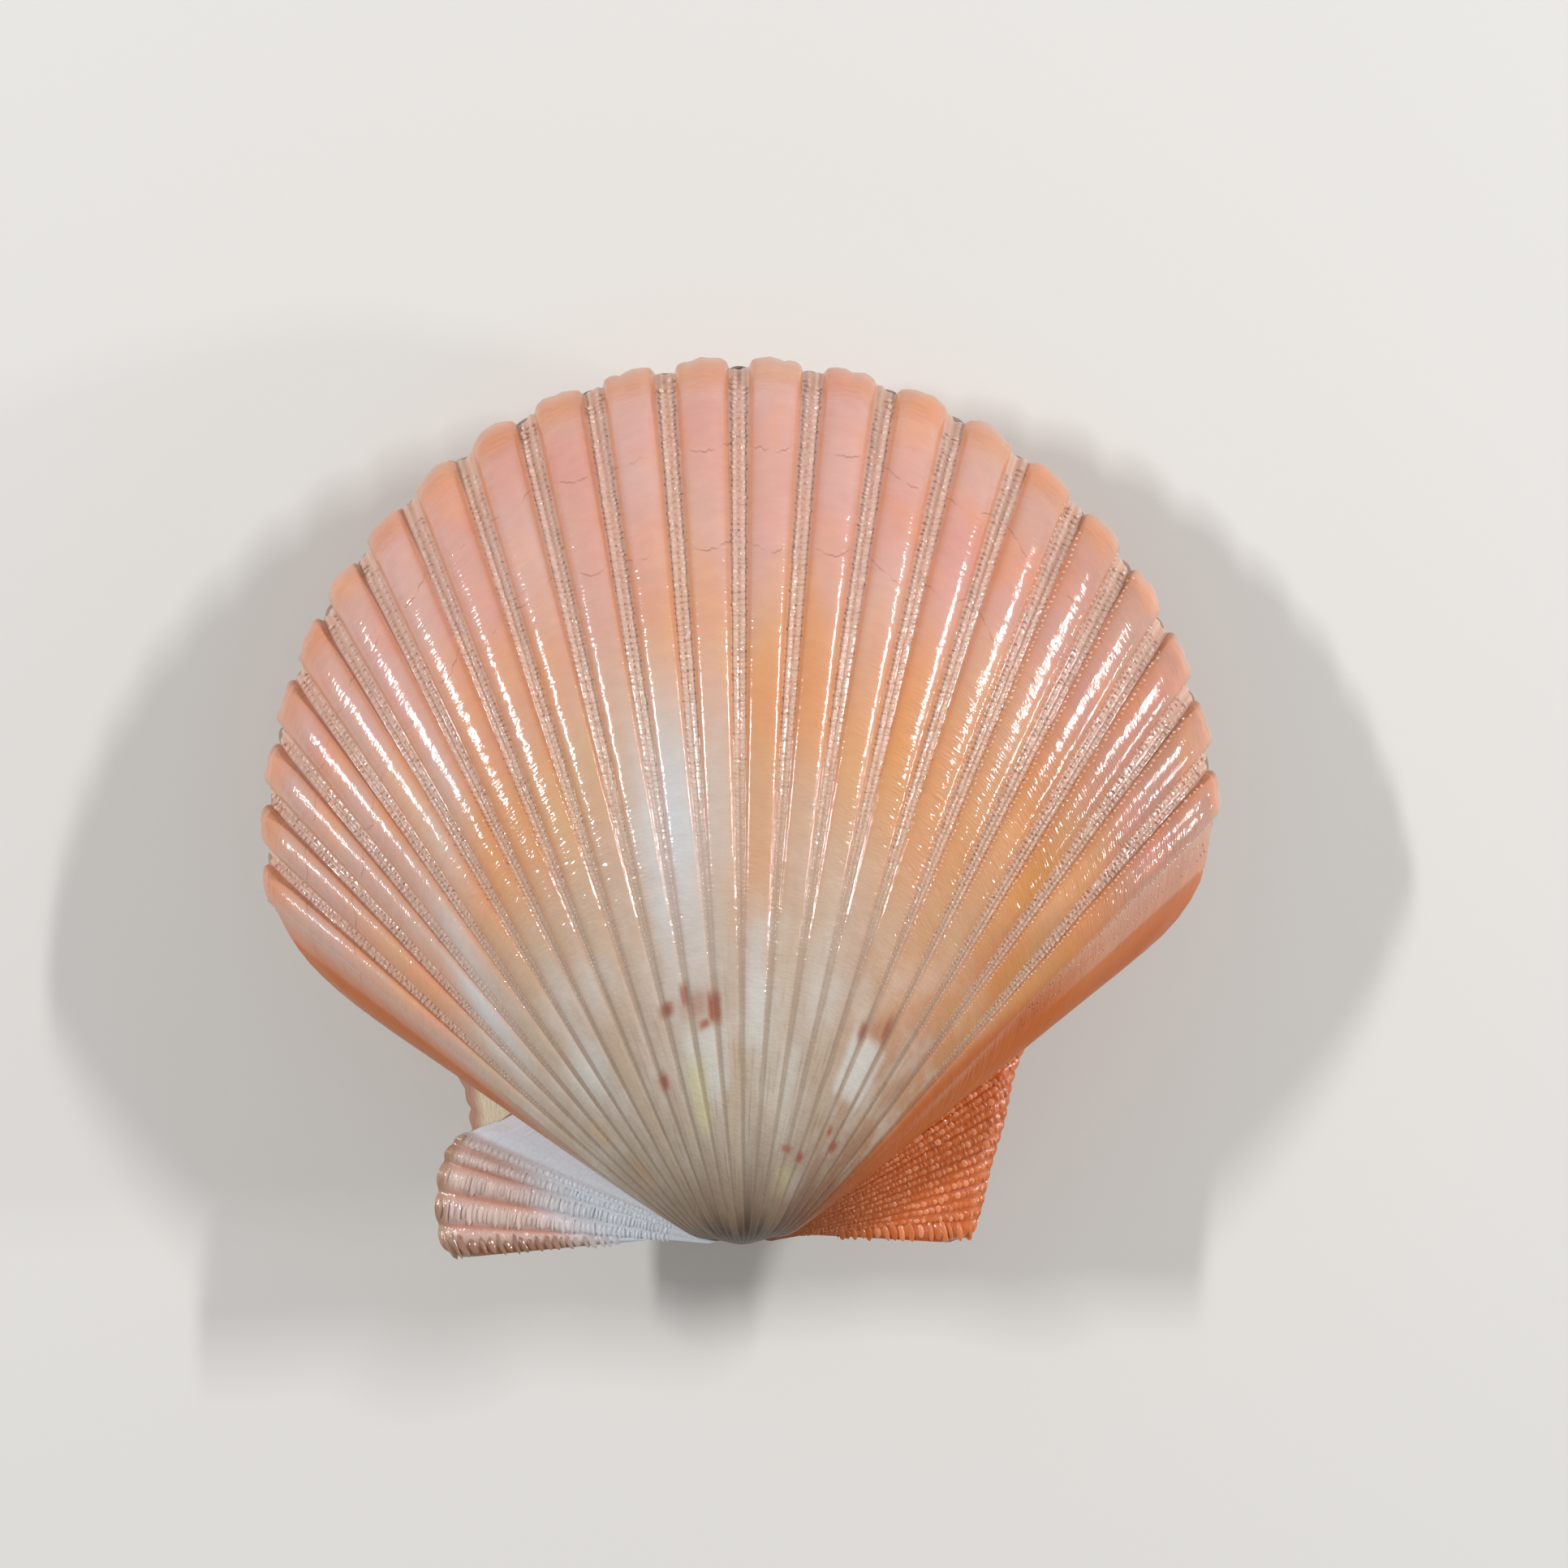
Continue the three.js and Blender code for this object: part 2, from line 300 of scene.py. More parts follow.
@dataclass
class Margin:
    """The columns of a valve, from the front hinge corner round the free edge to the back one."""

    edge: Array
    share: Array
    rib: Array
    across: Array
    zone: Array

    @staticmethod
    def joined(parts: list["Margin"]) -> "Margin":
        """Several stretches of margin as one."""
        names = ("edge", "share", "rib", "across", "zone")
        return Margin(*(np.concatenate([getattr(part, name) for part in parts]) for name in names))

    def on(self, zone: Zone) -> Array:
        """Whether each column is in a zone."""
        return self.zone == zone.value

    def reversed(self) -> "Margin":
        """The same stretch, run the other way."""
        return Margin(*(values[::-1] for values in vars(self).values()))


@dataclass
class Facets:
    """Points, faces and the values at each point of one mesh."""

    points: Array
    faces: list
    values: dict[str, Array] = field(default_factory=dict)


@dataclass(frozen=True)
class Rest:
    """How the closed pair is laid down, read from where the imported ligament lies."""

    lean: float = 5.2
    wedge_left: float = -15.5
    wedge_section: tuple[Point, ...] = ((-0.6, 0.35), (-0.6, -0.35), (1.3, 0.15), (1.3, -0.15))

    def turned(self, points: Array) -> Array:
        """Points leaned about the hinge line, the free edge going down.

        Args:
            points: Points in the plane of the pair.

        Returns:
            The turned points.
        """
        cos, sin = math.cos(math.radians(self.lean)), math.sin(math.radians(self.lean))
        y, z = points[..., 1], points[..., 2]
        return np.stack([points[..., 0], y * cos + z * sin, z * cos - y * sin], -1)

    def shift(self) -> Array:
        """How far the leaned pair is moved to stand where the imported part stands.

        Returns:
            The move in x, y and z.
        """
        low, _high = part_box("hinge_ligament")
        section = self.turned(np.array([(self.wedge_left, y, z) for y, z in self.wedge_section]))
        return np.array(low) / METRES_PER_MM - section.min(0)

    def lay(self, points: Array) -> Array:
        """Points of the pair as it lies, worn flat where it would go under the ground.

        Args:
            points: Points in the plane of the pair.

        Returns:
            The points where the part rests.
        """
        laid = self.turned(points) + self.shift()
        laid[..., 2] = np.maximum(laid[..., 2], 0.0)
        return laid


# ---------------------------------------------------------------- meshes


def make_object(name: str, facets: Facets, sharp_over: float,
                mend: bool = False) -> bpy.types.Object:
    """A Blender object in metres from points in millimetres.

    Args:
        name: The piece's name.
        facets: Its points, faces and values.
        sharp_over: Edges that bend more than this many degrees stay sharp.
        mend: Whether the faces are turned outwards by Blender.

    Returns:
        The object, linked to the scene.
    """
    mesh = bpy.data.meshes.new(name)
    mesh.from_pydata((facets.points * METRES_PER_MM).tolist(), [], facets.faces)
    if mend:
        work = bmesh.new()
        work.from_mesh(mesh)
        bmesh.ops.recalc_face_normals(work, faces=work.faces)
        work.to_mesh(mesh)
        work.free()
    for value_name, values in facets.values.items():
        layer = mesh.attributes.new(value_name, "FLOAT", "POINT")
        layer.data.foreach_set("value", np.asarray(values, np.float32))
    mesh.polygons.foreach_set("use_smooth", np.ones(len(mesh.polygons), bool))
    mesh.set_sharp_from_angle(angle=math.radians(sharp_over))
    mesh.update()
    made = bpy.data.objects.new(name, mesh)
    bpy.context.scene.collection.objects.link(made)
    return made


@dataclass(frozen=True)
class Relief:
    """The height of everything that stands up from a valve's disc."""

    rib_height: float
    crest_half: float
    foot_half: float
    rib_offset: float
    young_crest: float
    young_foot: float
    crown: float = 0.26
    wave: float = 0.7
    bar_height: float = 0.12
    bar_half: float = 0.05

    def beside(self, rib: Array) -> Array:
        """Distance from the nearest rib's middle, in rib spacings."""
        place = np.asarray(rib, float) - self.rib_offset
        return np.abs(place - np.round(place))

    def rise(self, rib: Array, scale: Array | float = 1.0) -> Array:
        """How far each place stands up as a rib, from 0 in a groove to 1 on a crest.

        The grooves are narrower where the shell was young.

        Args:
            rib: Rib numbers, 0 being the rib by the front ear.
            scale: Growth stages, 1 being the present margin.

        Returns:
            The rise of each place.
        """
        beside = self.beside(rib)
        young = ease(0.66, 0.26, scale)
        crest = self.crest_half + (self.young_crest - self.crest_half) * young
        foot = self.foot_half + (self.young_foot - self.foot_half) * young
        crown = 1 - self.crown * np.clip(beside / crest, 0, 1) ** 3
        wall = np.clip((beside - crest) / (foot - crest), 0, 1)
        return crown * (1 - wall * wall * (3 - 2 * wall))

    def bars(self, rib: Array, places: tuple[float, ...]) -> Array:
        """How far each place in a groove stands up as a riblet, from 0 to 1.

        Args:
            rib: Rib numbers, 0 being the rib by the front ear.
            places: Where the riblets stand, as distances from the middle of the groove.

        Returns:
            The rise of each place.
        """
        inward = 0.5 - self.beside(rib)
        gap = np.abs(inward[..., None] - np.array(places)).min(-1)
        return np.clip(1 - (gap / self.bar_half) ** 2, 0, 1)


@dataclass
class Valve:
    """One valve: its disc with ribs, its two ears, its thin lip and its cavity."""

    name: str
    node: str
    slot: str
    plan: GrowthPlan
    rest: Rest
    front: Ear
    back: Ear
    left_shoulder: Shoulder
    right_shoulder: Shoulder
    relief: Relief
    bulge: float
    below: bool
    seed: int
    bar_places: tuple[float, ...] = (0.07,)
    gap: float = 0.12
    lip_thickness: float = 0.35
    wall: float = 0.9
    ear_wall: float = 1.0
    ear_lip: float = 0.5
    lip_width: float = 0.07
    half_pitch: tuple[float, ...] = (
        0.0, 0.1, 0.18, 0.235, 0.275, 0.305, 0.335, 0.365, 0.395, 0.42, 0.445, 0.475, 0.5)
    ear_columns: int = 64
    cavity_share: float = 0.93
    cavity_inset: float = 0.045
    cavity_end: float = 0.2
    youngest: float = 0.011
    beak_cap: tuple[float, float, float] = (0.0, 0.3, -0.25)
    groove_lift: float = 0.42
    groove_span: Point = (-15.9, 12.9)
    notch_depth: float = 0.26
    ragged: float = 0.3
    set_back: float = 0.0
    drawn_from: Point = (0.0, 4.0)
    lip_flattening: float = 0.22
    lip_rows: tuple[int, ...] = (0, 4, 8)
    cavity_rows: tuple[int, int] = (13, 6)
    back_step: float = 0.998
    past_ribs: float = 2.0

    def ear_ribs(self) -> Point:
        """The rib numbers that stand for the front ear and the back ear."""
        return -self.past_ribs, self.plan.ribs - 1 + self.past_ribs

    def rib_columns(self) -> Margin:
        """The columns across the ribs, closer together on the ribs' steep sides.

        Returns:
            The columns.
        """
        half = np.array(self.half_pitch)
        pitch = np.concatenate([-half[:0:-1], half[:-1]])
        rib = (np.arange(self.plan.ribs)[:, None] + pitch).ravel()
        start, end = self.plan.ends()
        rib = rib[(rib > start + 0.005) & (rib < end - 0.005)]
        rib = np.concatenate([[start], rib, [end]])
        one = np.ones_like(rib)
        return Margin(self.plan.rib_edge(rib), one, rib, one * 0, one * Zone.DISC.value)

    def shoulder_columns(self, shoulder: Shoulder, rib_from: float, rib_to: float) -> Margin:
        """The columns of one smooth side of the disc, from the ear to the first rib.

        Args:
            shoulder: The side.
            rib_from: The rib number that stands for the ear's end.
            rib_to: The rib number that it reaches.

        Returns:
            The columns.
        """
        edge = shoulder.points(self.plan, 9, 7)
        t = np.linspace(0, 1, len(edge) + 1)[:-1]
        share = self.plan.ear_share + (1 - self.plan.ear_share) * ease(-0.02, 0.2, t)
        share[0] = self.plan.ear_share
        one = np.ones_like(t)
        rib = rib_from + (rib_to - rib_from) * t
        return Margin(edge, share, rib, one * 0, one * Zone.DISC.value)

    def ear_columns_of(self, ear: Ear, zone: Zone, rib: float) -> Margin:
        """The columns of one ear, from the hinge line to the disc.

        Args:
            ear: The ear.
            zone: Which ear it is.
            rib: The rib number that stands for it.

        Returns:
            The columns.
        """
        across = np.linspace(0, 1, self.ear_columns)
        one = np.ones_like(across)
        share = one * self.plan.ear_share
        return Margin(ear.edge(across), share, one * rib, across, one * zone.value)

    def margin(self) -> Margin:
        """All the columns in order.

        Returns:
            The columns.
        """
        start, end = self.plan.ends()
        front_ear, back_ear = self.ear_ribs()
        return Margin.joined([
            self.ear_columns_of(self.front, Zone.FRONT_EAR, front_ear),
            self.shoulder_columns(self.left_shoulder, front_ear, start),
            self.rib_columns(),
            self.shoulder_columns(self.right_shoulder, back_ear, end).reversed(),
            self.ear_columns_of(self.back, Zone.BACK_EAR, back_ear).reversed(),
        ])

    def stages(self) -> Array:
        """The growth stages that the rows stand at, from the present margin to the youngest.

        Returns:
            The stages, falling from 1.
        """
        lip = [1, 0.9982, 0.9965, 0.9948, 0.993, 0.991, 0.988, 0.984, 0.979, 0.973]
        body = np.arange(0.965, 0.26, -0.0094)
        beak = np.geomspace(0.255, self.youngest, 26)
        return np.concatenate([lip, body, beak])

    def drawn_in(self, margin: Margin, scale: Array) -> Array:
        """How far the margin falls short of its smooth line, in millimetres, near its present edge.

        Args:
            margin: The columns.
            scale: Growth stages, 1 being the present margin.

        Returns:
            One length for each row and column.
        """
        at_edge = ease(0.955, 1.0, scale)
        disc = margin.on(Zone.DISC)
        rise = np.where(disc, self.relief.rise(margin.rib), 0)
        ribbed = ease(-1.0, -0.3, margin.rib)
        ribbed = ribbed * ease(self.plan.ribs, self.plan.ribs - 0.7, margin.rib)
        notch = self.notch_depth * (1 - rise) * ribbed
        uneven = self.ragged * (0.5 + 0.5 * wander(margin.rib * 1.9, self.seed)) * ribbed
        ears = (self.front, self.back)
        front, back = (ear.lobe * (1 - ear.profile(margin.across)) for ear in ears)
        lobes = np.where(margin.on(Zone.FRONT_EAR), front, back)
        lobes = lobes * ease(0.0, 0.03, margin.across) * ease(1.0, 0.9, margin.across)
        return np.where(disc, notch + uneven + self.set_back * ribbed, lobes) * at_edge

    def smooth_place(self, edge: Array, share: Array, scale: Array,
                     bow: Array | float = 0.0) -> Array:
        """Points of the smooth growth surface, without ribs or thickness.

        Args:
            edge: The margin's points, in the plane where the valves meet.
            share: How much of the turn each column takes.
            scale: The growth stage.
            bow: How far the hinge line is drawn towards the free edge.

        Returns:
            The points.
        """
        angle = share * self.plan.turn(scale)
        reach = edge[..., 1] * scale + bow
        return np.stack([edge[..., 0] * scale, reach * np.cos(angle) + self.plan.forward(scale),
                         self.bulge * reach * np.sin(angle)], -1)

    def thickness(self, scale: Array, is_ear: Array) -> Array:
        """How far the outer face stands above the plane between the valves.

        Args:
            scale: Growth stages, 1 being the present margin.
            is_ear: Whether each place is on an ear.

        Returns:
            The height of each place.
        """
        full = ease(1.0, 1.0 - self.lip_width, scale)
        disc = self.lip_thickness + (self.wall - self.lip_thickness) * full
        ear = self.ear_lip + (self.ear_wall - self.ear_lip) * full
        return self.gap / 2 + np.where(is_ear, ear, disc)

    def wave(self, rib: Array) -> Array:
        """Height of the wavy line where the valves meet, on the disc.

        Args:
            rib: Rib numbers, 0 being the rib by the front ear.

        Returns:
            The height at each rib number.
        """
        own = self.relief.wave * (UPPER_RELIEF.rise(rib) - 0.5) * (-1 if self.below else 1)
        start, end = self.plan.ends()
        front_ear, back_ear = self.ear_ribs()
        return own * ease(front_ear, start, rib) * ease(back_ear, end, rib)

    def disc_height(self, rib: Array, scale: Array) -> Array:
        """Height of ribs and riblets above the smooth disc.

        Args:
            rib: Rib numbers, 0 being the rib by the front ear.
            scale: Growth stages, 1 being the present margin.

        Returns:
            The height of each place.
        """
        start, end = self.plan.ends()
        ribbed = ease(start - 0.06, start + 0.02, rib) * ease(end + 0.06, end - 0.02, rib)
        lip = 1 - self.lip_flattening * ease(0.987, 0.9955, scale)
        ribs = self.relief.rib_height * self.relief.rise(rib, scale) * scale**1.5 * lip
        bars = self.relief.bar_height * self.relief.bars(rib, self.bar_places)
        bars = bars * ease(0.35, 0.7, scale)
        return (ribs + bars) * ribbed

    def ear_height(self, ear: Ear, across: Array, scale: Array) -> Array:
        """Height of an ear's riblets."""
        return ear.riblet_height * ear.profile(across) * scale

    def outer(self, margin: Margin, stages: Array) -> Array:
        """The outer face's points, a row to each stage.

        Args:
            margin: The columns.
            stages: The rows.

        Returns:
            The points by row and column.
        """
        scale = stages[:, None]
        radial = unit(margin.edge - np.array(self.drawn_from))
        edge = margin.edge - radial * self.drawn_in(margin, scale)[..., None]
        is_ear = ~margin.on(Zone.DISC)
        ear_hinge = is_ear * ease(self.plan.bow_reach, 0.0, margin.across)
        bow = self.plan.bow(scale) * ear_hinge
        base = self.smooth_place(edge, margin.share, scale, bow)
        toward_umbo, beside = np.gradient(base, axis=0), np.gradient(base, axis=1)
        normal = unit(np.cross(toward_umbo, beside))
        ears = (self.front, self.back)
        front, back = (self.ear_height(ear, margin.across, scale) for ear in ears)
        on_ear = np.where(margin.on(Zone.FRONT_EAR), front, back)
        height = np.where(is_ear, on_ear, self.disc_height(margin.rib, scale))
        place = base + normal * height[..., None]
        place[..., 2] += self.thickness(scale, is_ear)
        place[..., 2] += np.where(is_ear, 0, self.wave(margin.rib)) * scale**4
        return place

    def inner(self, margin: Margin, stages: Array, outer: Array, rows: list[int]) -> Array:
        """The cavity's points, a row to each of the chosen rows of the outer face.

        Args:
            margin: The columns.
            stages: The rows of the outer face.
            outer: The outer face's points.
            rows: Which of those rows the cavity has.

        Returns:
            The points by row and column.
        """
        scale = stages[rows][:, None]
        base = outer[rows].copy()
        smooth = self.smooth_place(margin.edge, margin.share, scale)
        keep = np.where(scale > PRESENT, 1.0, 1 - self.cavity_inset)[..., None]
        centre = np.array(self.plan.centre)
        drawn = centre + (smooth[..., :2] - centre) * keep
        is_ear = ~margin.on(Zone.DISC)
        flat = is_ear | (margin.share <= self.plan.ear_share + 1e-6)
        at_rim = np.broadcast_to(scale > PRESENT, (len(rows), len(flat)))
        xy = np.where((is_ear | at_rim)[..., None], base[..., :2], drawn)
        depth = np.where(flat | at_rim, 0, smooth[..., 2] * self.cavity_share)
        wave = np.where(is_ear, 0, self.wave(margin.rib)) * scale**6
        window = ease(self.groove_span[0] - 0.3, self.groove_span[0], xy[..., 0])
        window = window * ease(self.groove_span[1] + 0.3, self.groove_span[1], xy[..., 0])
        lift = self.groove_lift * window * ease(2.2, 1.3, xy[..., 1])
        return np.concatenate([xy, (depth + wave + self.gap / 2 + lift)[..., None]], -1)

    def skin(self) -> Facets:
        """The whole closed skin of the valve, bulging upwards.

        Returns:
            The outer face, the cavity, the rim and the caps at the beak as one closed mesh.
        """
        margin, stages = self.margin(), self.stages()
        columns = len(margin.rib)
        outer = self.outer(margin, stages)
        last_inner = int(np.argmin(np.abs(stages - self.cavity_end)))
        first, stride = self.cavity_rows
        rows = [*self.lip_rows, *range(first, last_inner, stride), last_inner]
        inner = self.inner(margin, stages, outer, rows)

        points = [outer.reshape(-1, 3), inner.reshape(-1, 3)]
        first_inner = outer.shape[0] * columns
        grid = np.arange(first_inner).reshape(outer.shape[:2])
        lining = first_inner + np.arange(inner.shape[0] * columns).reshape(inner.shape[:2])
        count = first_inner + lining.size
        rim = np.stack([lining[0], grid[0]])
        faces = self.quads(grid) + self.quads(lining[::-1]) + self.quads(rim)

        ground = self.gap / 2
        drop = inner[-1][:, 2] > ground + 0.001
        middle = slice(self.ear_columns + 1, columns - self.ear_columns - 1)
        falls = np.zeros(columns, bool)
        falls[middle] = drop[middle]
        floor_line = lining[-1].copy()
        fallen = inner[-1][falls].copy()
        fallen[:, 2] = ground
        points.append(fallen)
        floor_line[falls] = count + np.arange(len(fallen))
        count += len(fallen)
        for j in range(columns - 1):
            ring = [lining[-1][j], lining[-1][j + 1], floor_line[j + 1], floor_line[j]]
            ring = list(dict.fromkeys(int(k) for k in ring))
            if len(ring) > 2:
                faces.append(ring)

        tails = []
        for side in (0, columns - 1):
            tail = outer[last_inner + 1:, side].copy()
            tail[:, 2] = ground + self.groove_lift
            points.append(tail)
            tails.append([int(lining[-1][side])] + list(range(count, count + len(tail))))
            count += len(tail)
            for k, row in enumerate(rows[:-1]):
                upper_side = [int(grid[r, side]) for r in range(row, rows[k + 1] + 1)]
                faces.append(upper_side + [int(lining[k + 1, side]), int(lining[k, side])])
            for k in range(len(tails[-1]) - 1):
                row = last_inner + k
                upper_side = [int(grid[row, side]), int(grid[row + 1, side])]
                faces.append(upper_side + [tails[-1][k + 1], tails[-1][k]])
        left, right = tails
        faces.append([int(k) for k in floor_line] + right[1:] + left[:0:-1])
        end = [left[-1], *(int(k) for k in grid[-1]), right[-1]]
        points.append(outer[-1].mean(0, keepdims=True) + [self.beak_cap])
        faces += [[count, end[(k + 1) % len(end)], end[k]] for k in range(len(end))]

        every = np.concatenate(points)
        return Facets(every, faces, self.values(margin, stages, rows, len(every)))

    @staticmethod
    def quads(grid: Array) -> list:
        """Faces between the rows of a grid of point numbers."""
        a, b, c, d = grid[:-1, :-1], grid[1:, :-1], grid[1:, 1:], grid[:-1, 1:]
        return np.stack([a, b, c, d], -1).reshape(-1, 4).tolist()

    def values(self, margin: Margin, stages: Array, rows: list[int],
               total: int) -> dict[str, Array]:
        """What the finish reads at each point of the skin.

        Args:
            margin: The columns.
            stages: The rows.
            rows: Which rows the cavity has.
            total: How many points the skin has.

        Returns:
            One value for each point, by name.
        """
        scale = np.broadcast_to(stages[:, None], (len(stages), len(margin.rib)))
        disc = margin.on(Zone.DISC)
        crest = np.where(disc, self.relief.rise(margin.rib, stages[:, None]), 0.5)
        crease = disc & (margin.share <= self.plan.ear_share + 1e-6)
        front = margin.on(Zone.FRONT_EAR) | (crease & (margin.rib < 0))
        back = margin.on(Zone.BACK_EAR) | (crease & (margin.rib > 0))
        across = np.where(crease, 1.0, margin.across)
        bars = self.relief.bars(margin.rib, self.bar_places)
        riblet = np.where(disc, bars, self.back.profile(across))
        riblet = np.where(front, self.front.profile(across), riblet)
        columns = {
            "rib": margin.rib,
            "crest": crest,
            "across": across,
            "riblet": riblet,
            "front_ear": front * 1.0,
            "back_ear": back * 1.0,
        }
        spare = total - scale.size - len(rows) * len(margin.rib)
        made = {"growth": np.concatenate([scale.ravel(), scale[rows].ravel(), np.full(spare, 0.1)])}
        for name, value in columns.items():
            whole = np.broadcast_to(value, scale.shape)
            made[name] = np.concatenate([whole.ravel(), whole[rows].ravel(), np.zeros(spare)])
        made["inside"] = np.concatenate([np.zeros(scale.size), np.ones(total - scale.size)])
        return made

    def laid(self, points: Array) -> Array:
        """Points of the valve as it lies: the lower one is turned over first."""
        turned = points * np.array([1, 1, -1]) if self.below else points
        return self.rest.lay(turned)

    def build(self) -> bpy.types.Object:
        """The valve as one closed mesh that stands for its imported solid.

        Returns:
            The valve.
        """
        facets = self.skin()
        facets.points = self.laid(facets.points)
        made = make_object(self.name, facets, 48, mend=True)
        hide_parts(self.node)
        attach(made, "root")
        return made

    # -------- places on the valve, for what grows on it

    def disc_edge(self, rib: Array) -> Array:
        """Points of the disc's edge at rib numbers, past the last rib on the smooth flank.

        Args:
            rib: Rib numbers, 0 being the rib by the front ear.

        Returns:
            One (x, y) for each rib number.
        """
        margin = self.margin()
        flank = margin.on(Zone.DISC) & (margin.rib >= self.plan.ends()[1])
        numbers, edge = margin.rib[flank], margin.edge[flank]
        on_flank = np.stack([np.interp(rib, numbers, edge[:, k]) for k in (0, 1)], -1)
        past = rib > numbers[0]
        return np.where(past[..., None], on_flank, self.plan.rib_edge(rib))

    def disc_spot(self, rib: Array, scale: Array) -> tuple[Array, Array, Array, Array]:
        """Places on the disc, with the directions out, towards the margin and along it.

        Args:
            rib: Rib numbers, 0 being the rib by the front ear.
            scale: Growth stages, 1 being the present margin.

        Returns:
            The places, and the directions out, towards the margin and along it.
        """
        step = 0.01
        here = self.smooth_place(self.disc_edge(rib), 1.0, scale)
        older = self.smooth_place(self.disc_edge(rib), 1.0, scale * self.back_step)
        beside = self.smooth_place(self.disc_edge(rib + step), 1.0, scale) - here
        out = unit(np.cross(older - here, beside))
        place = here + out * self.disc_height(rib, scale)[..., None]
        not_ear = np.zeros_like(scale, bool)
        place[..., 2] += self.thickness(scale, not_ear) + self.wave(rib) * scale**4
        ahead = unit(here - older)
        return place, out, ahead, unit(np.cross(ahead, out))

    def ear_spot(self, ear: Ear, across: Array, scale: Array) -> tuple[Array, Array, Array, Array]:
        """Places on an ear, with the directions out, towards the free edge and along it.

        Args:
            ear: The ear.
            across: Shares of its free edge's length.
            scale: Growth stages, 1 being the present margin.

        Returns:
            The places, and the directions out, towards the free edge and along it.
        """
        share = self.plan.ear_share
        bow = self.plan.bow(scale) * ease(self.plan.bow_reach, 0.0, across)
        here = self.smooth_place(ear.edge(across), share, scale, bow)
        older = self.smooth_place(ear.edge(across), share, scale * self.back_step, bow)
        beside = self.smooth_place(ear.edge(across + 0.004), share, scale, bow) - here
        out = unit(np.cross(older - here, beside))
        out = out * np.where(out[..., 2:] < 0, -1, 1)
        place = here + out * self.ear_height(ear, across, scale)[..., None]
        place[..., 2] += self.thickness(scale, np.ones_like(scale, bool))
        ahead = unit(here - older)
        return place, out, ahead, unit(np.cross(ahead, out))


# ---------------------------------------------------------------- scales that grow on the riblets


@dataclass
class ScaleBed:
    """Many small closed scales on one valve, made as one piece."""

    name: str
    valve: Valve
    sides: int
    sink: float = 0.45
    shoulder: float = 0.62
    spots: list = field(default_factory=list)

    def add(self, spot: tuple[Array, Array, Array, Array], size: Array, lean: Array,
            values: dict) -> None:
        """Adds scales.

        Args:
            spot: Their places and directions, as a valve gives them.
            size: Half length towards the margin, half width and height of each.
            lean: How far each one's top leans towards the margin, as a share of its length.
            values: What the finish reads, for each scale.
        """
        self.spots.append((spot, size, lean, values))

    def facets(self) -> Facets:
        """All the scales as one set of closed domes.

        Returns:
            The scales as one set of points and faces.
        """
        angle = np.arange(self.sides) / self.sides * 2 * math.pi
        rings = []
        for radius, height, forward in ((1.0, -self.sink, 0.0), (self.shoulder, 0.72, 0.55)):
            rings += [(radius * math.cos(a), radius * math.sin(a), height, forward) for a in angle]
        shape = np.array(rings + [(0.0, 0.0, 1.0, 1.0)])
        points, values = [], {}
        for (place, out, ahead, aside), size, lean, given in self.spots:
            forward = shape[:, 0] * size[:, :1] + shape[:, 3] * (lean * size[:, 0])[:, None]
            side = shape[:, 1] * size[:, 1:2]
            up = shape[:, 2] * size[:, 2:3]
            points.append(place[:, None] + forward[..., None] * ahead[:, None]
                          + side[..., None] * aside[:, None] + up[..., None] * out[:, None])
            for key, value in given.items():
                each = np.asarray(value, float)[..., None]
                spread = np.broadcast_to(each, (len(place), len(shape)))
                values.setdefault(key, []).append(spread.ravel())
        every = np.concatenate(points)
        sides = self.sides
        one = [[k, (k + 1) % sides, sides + (k + 1) % sides, sides + k] for k in range(sides)]
        caps = [[sides + k, sides + (k + 1) % sides, 2 * sides] for k in range(sides)]
        base = [list(range(sides))[::-1]]
        if self.valve.below:
            one, caps, base = ([ring[::-1] for ring in group] for group in (one, caps, base))
        starts = np.arange(len(every)) * len(shape)
        faces = []
        for ring in one + caps + base:
            faces += (starts[:, None] + np.array(ring)).tolist()
        flat = self.valve.laid(every.reshape(-1, 3))
        return Facets(flat, faces, {key: np.concatenate(parts) for key, parts in values.items()})

    def build(self) -> bpy.types.Object:
        """The scales as one mesh that rides with its valve.

        Returns:
            The piece.
        """
        made = make_object(self.name, self.facets(), 75)
        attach(made, "root")
        return made


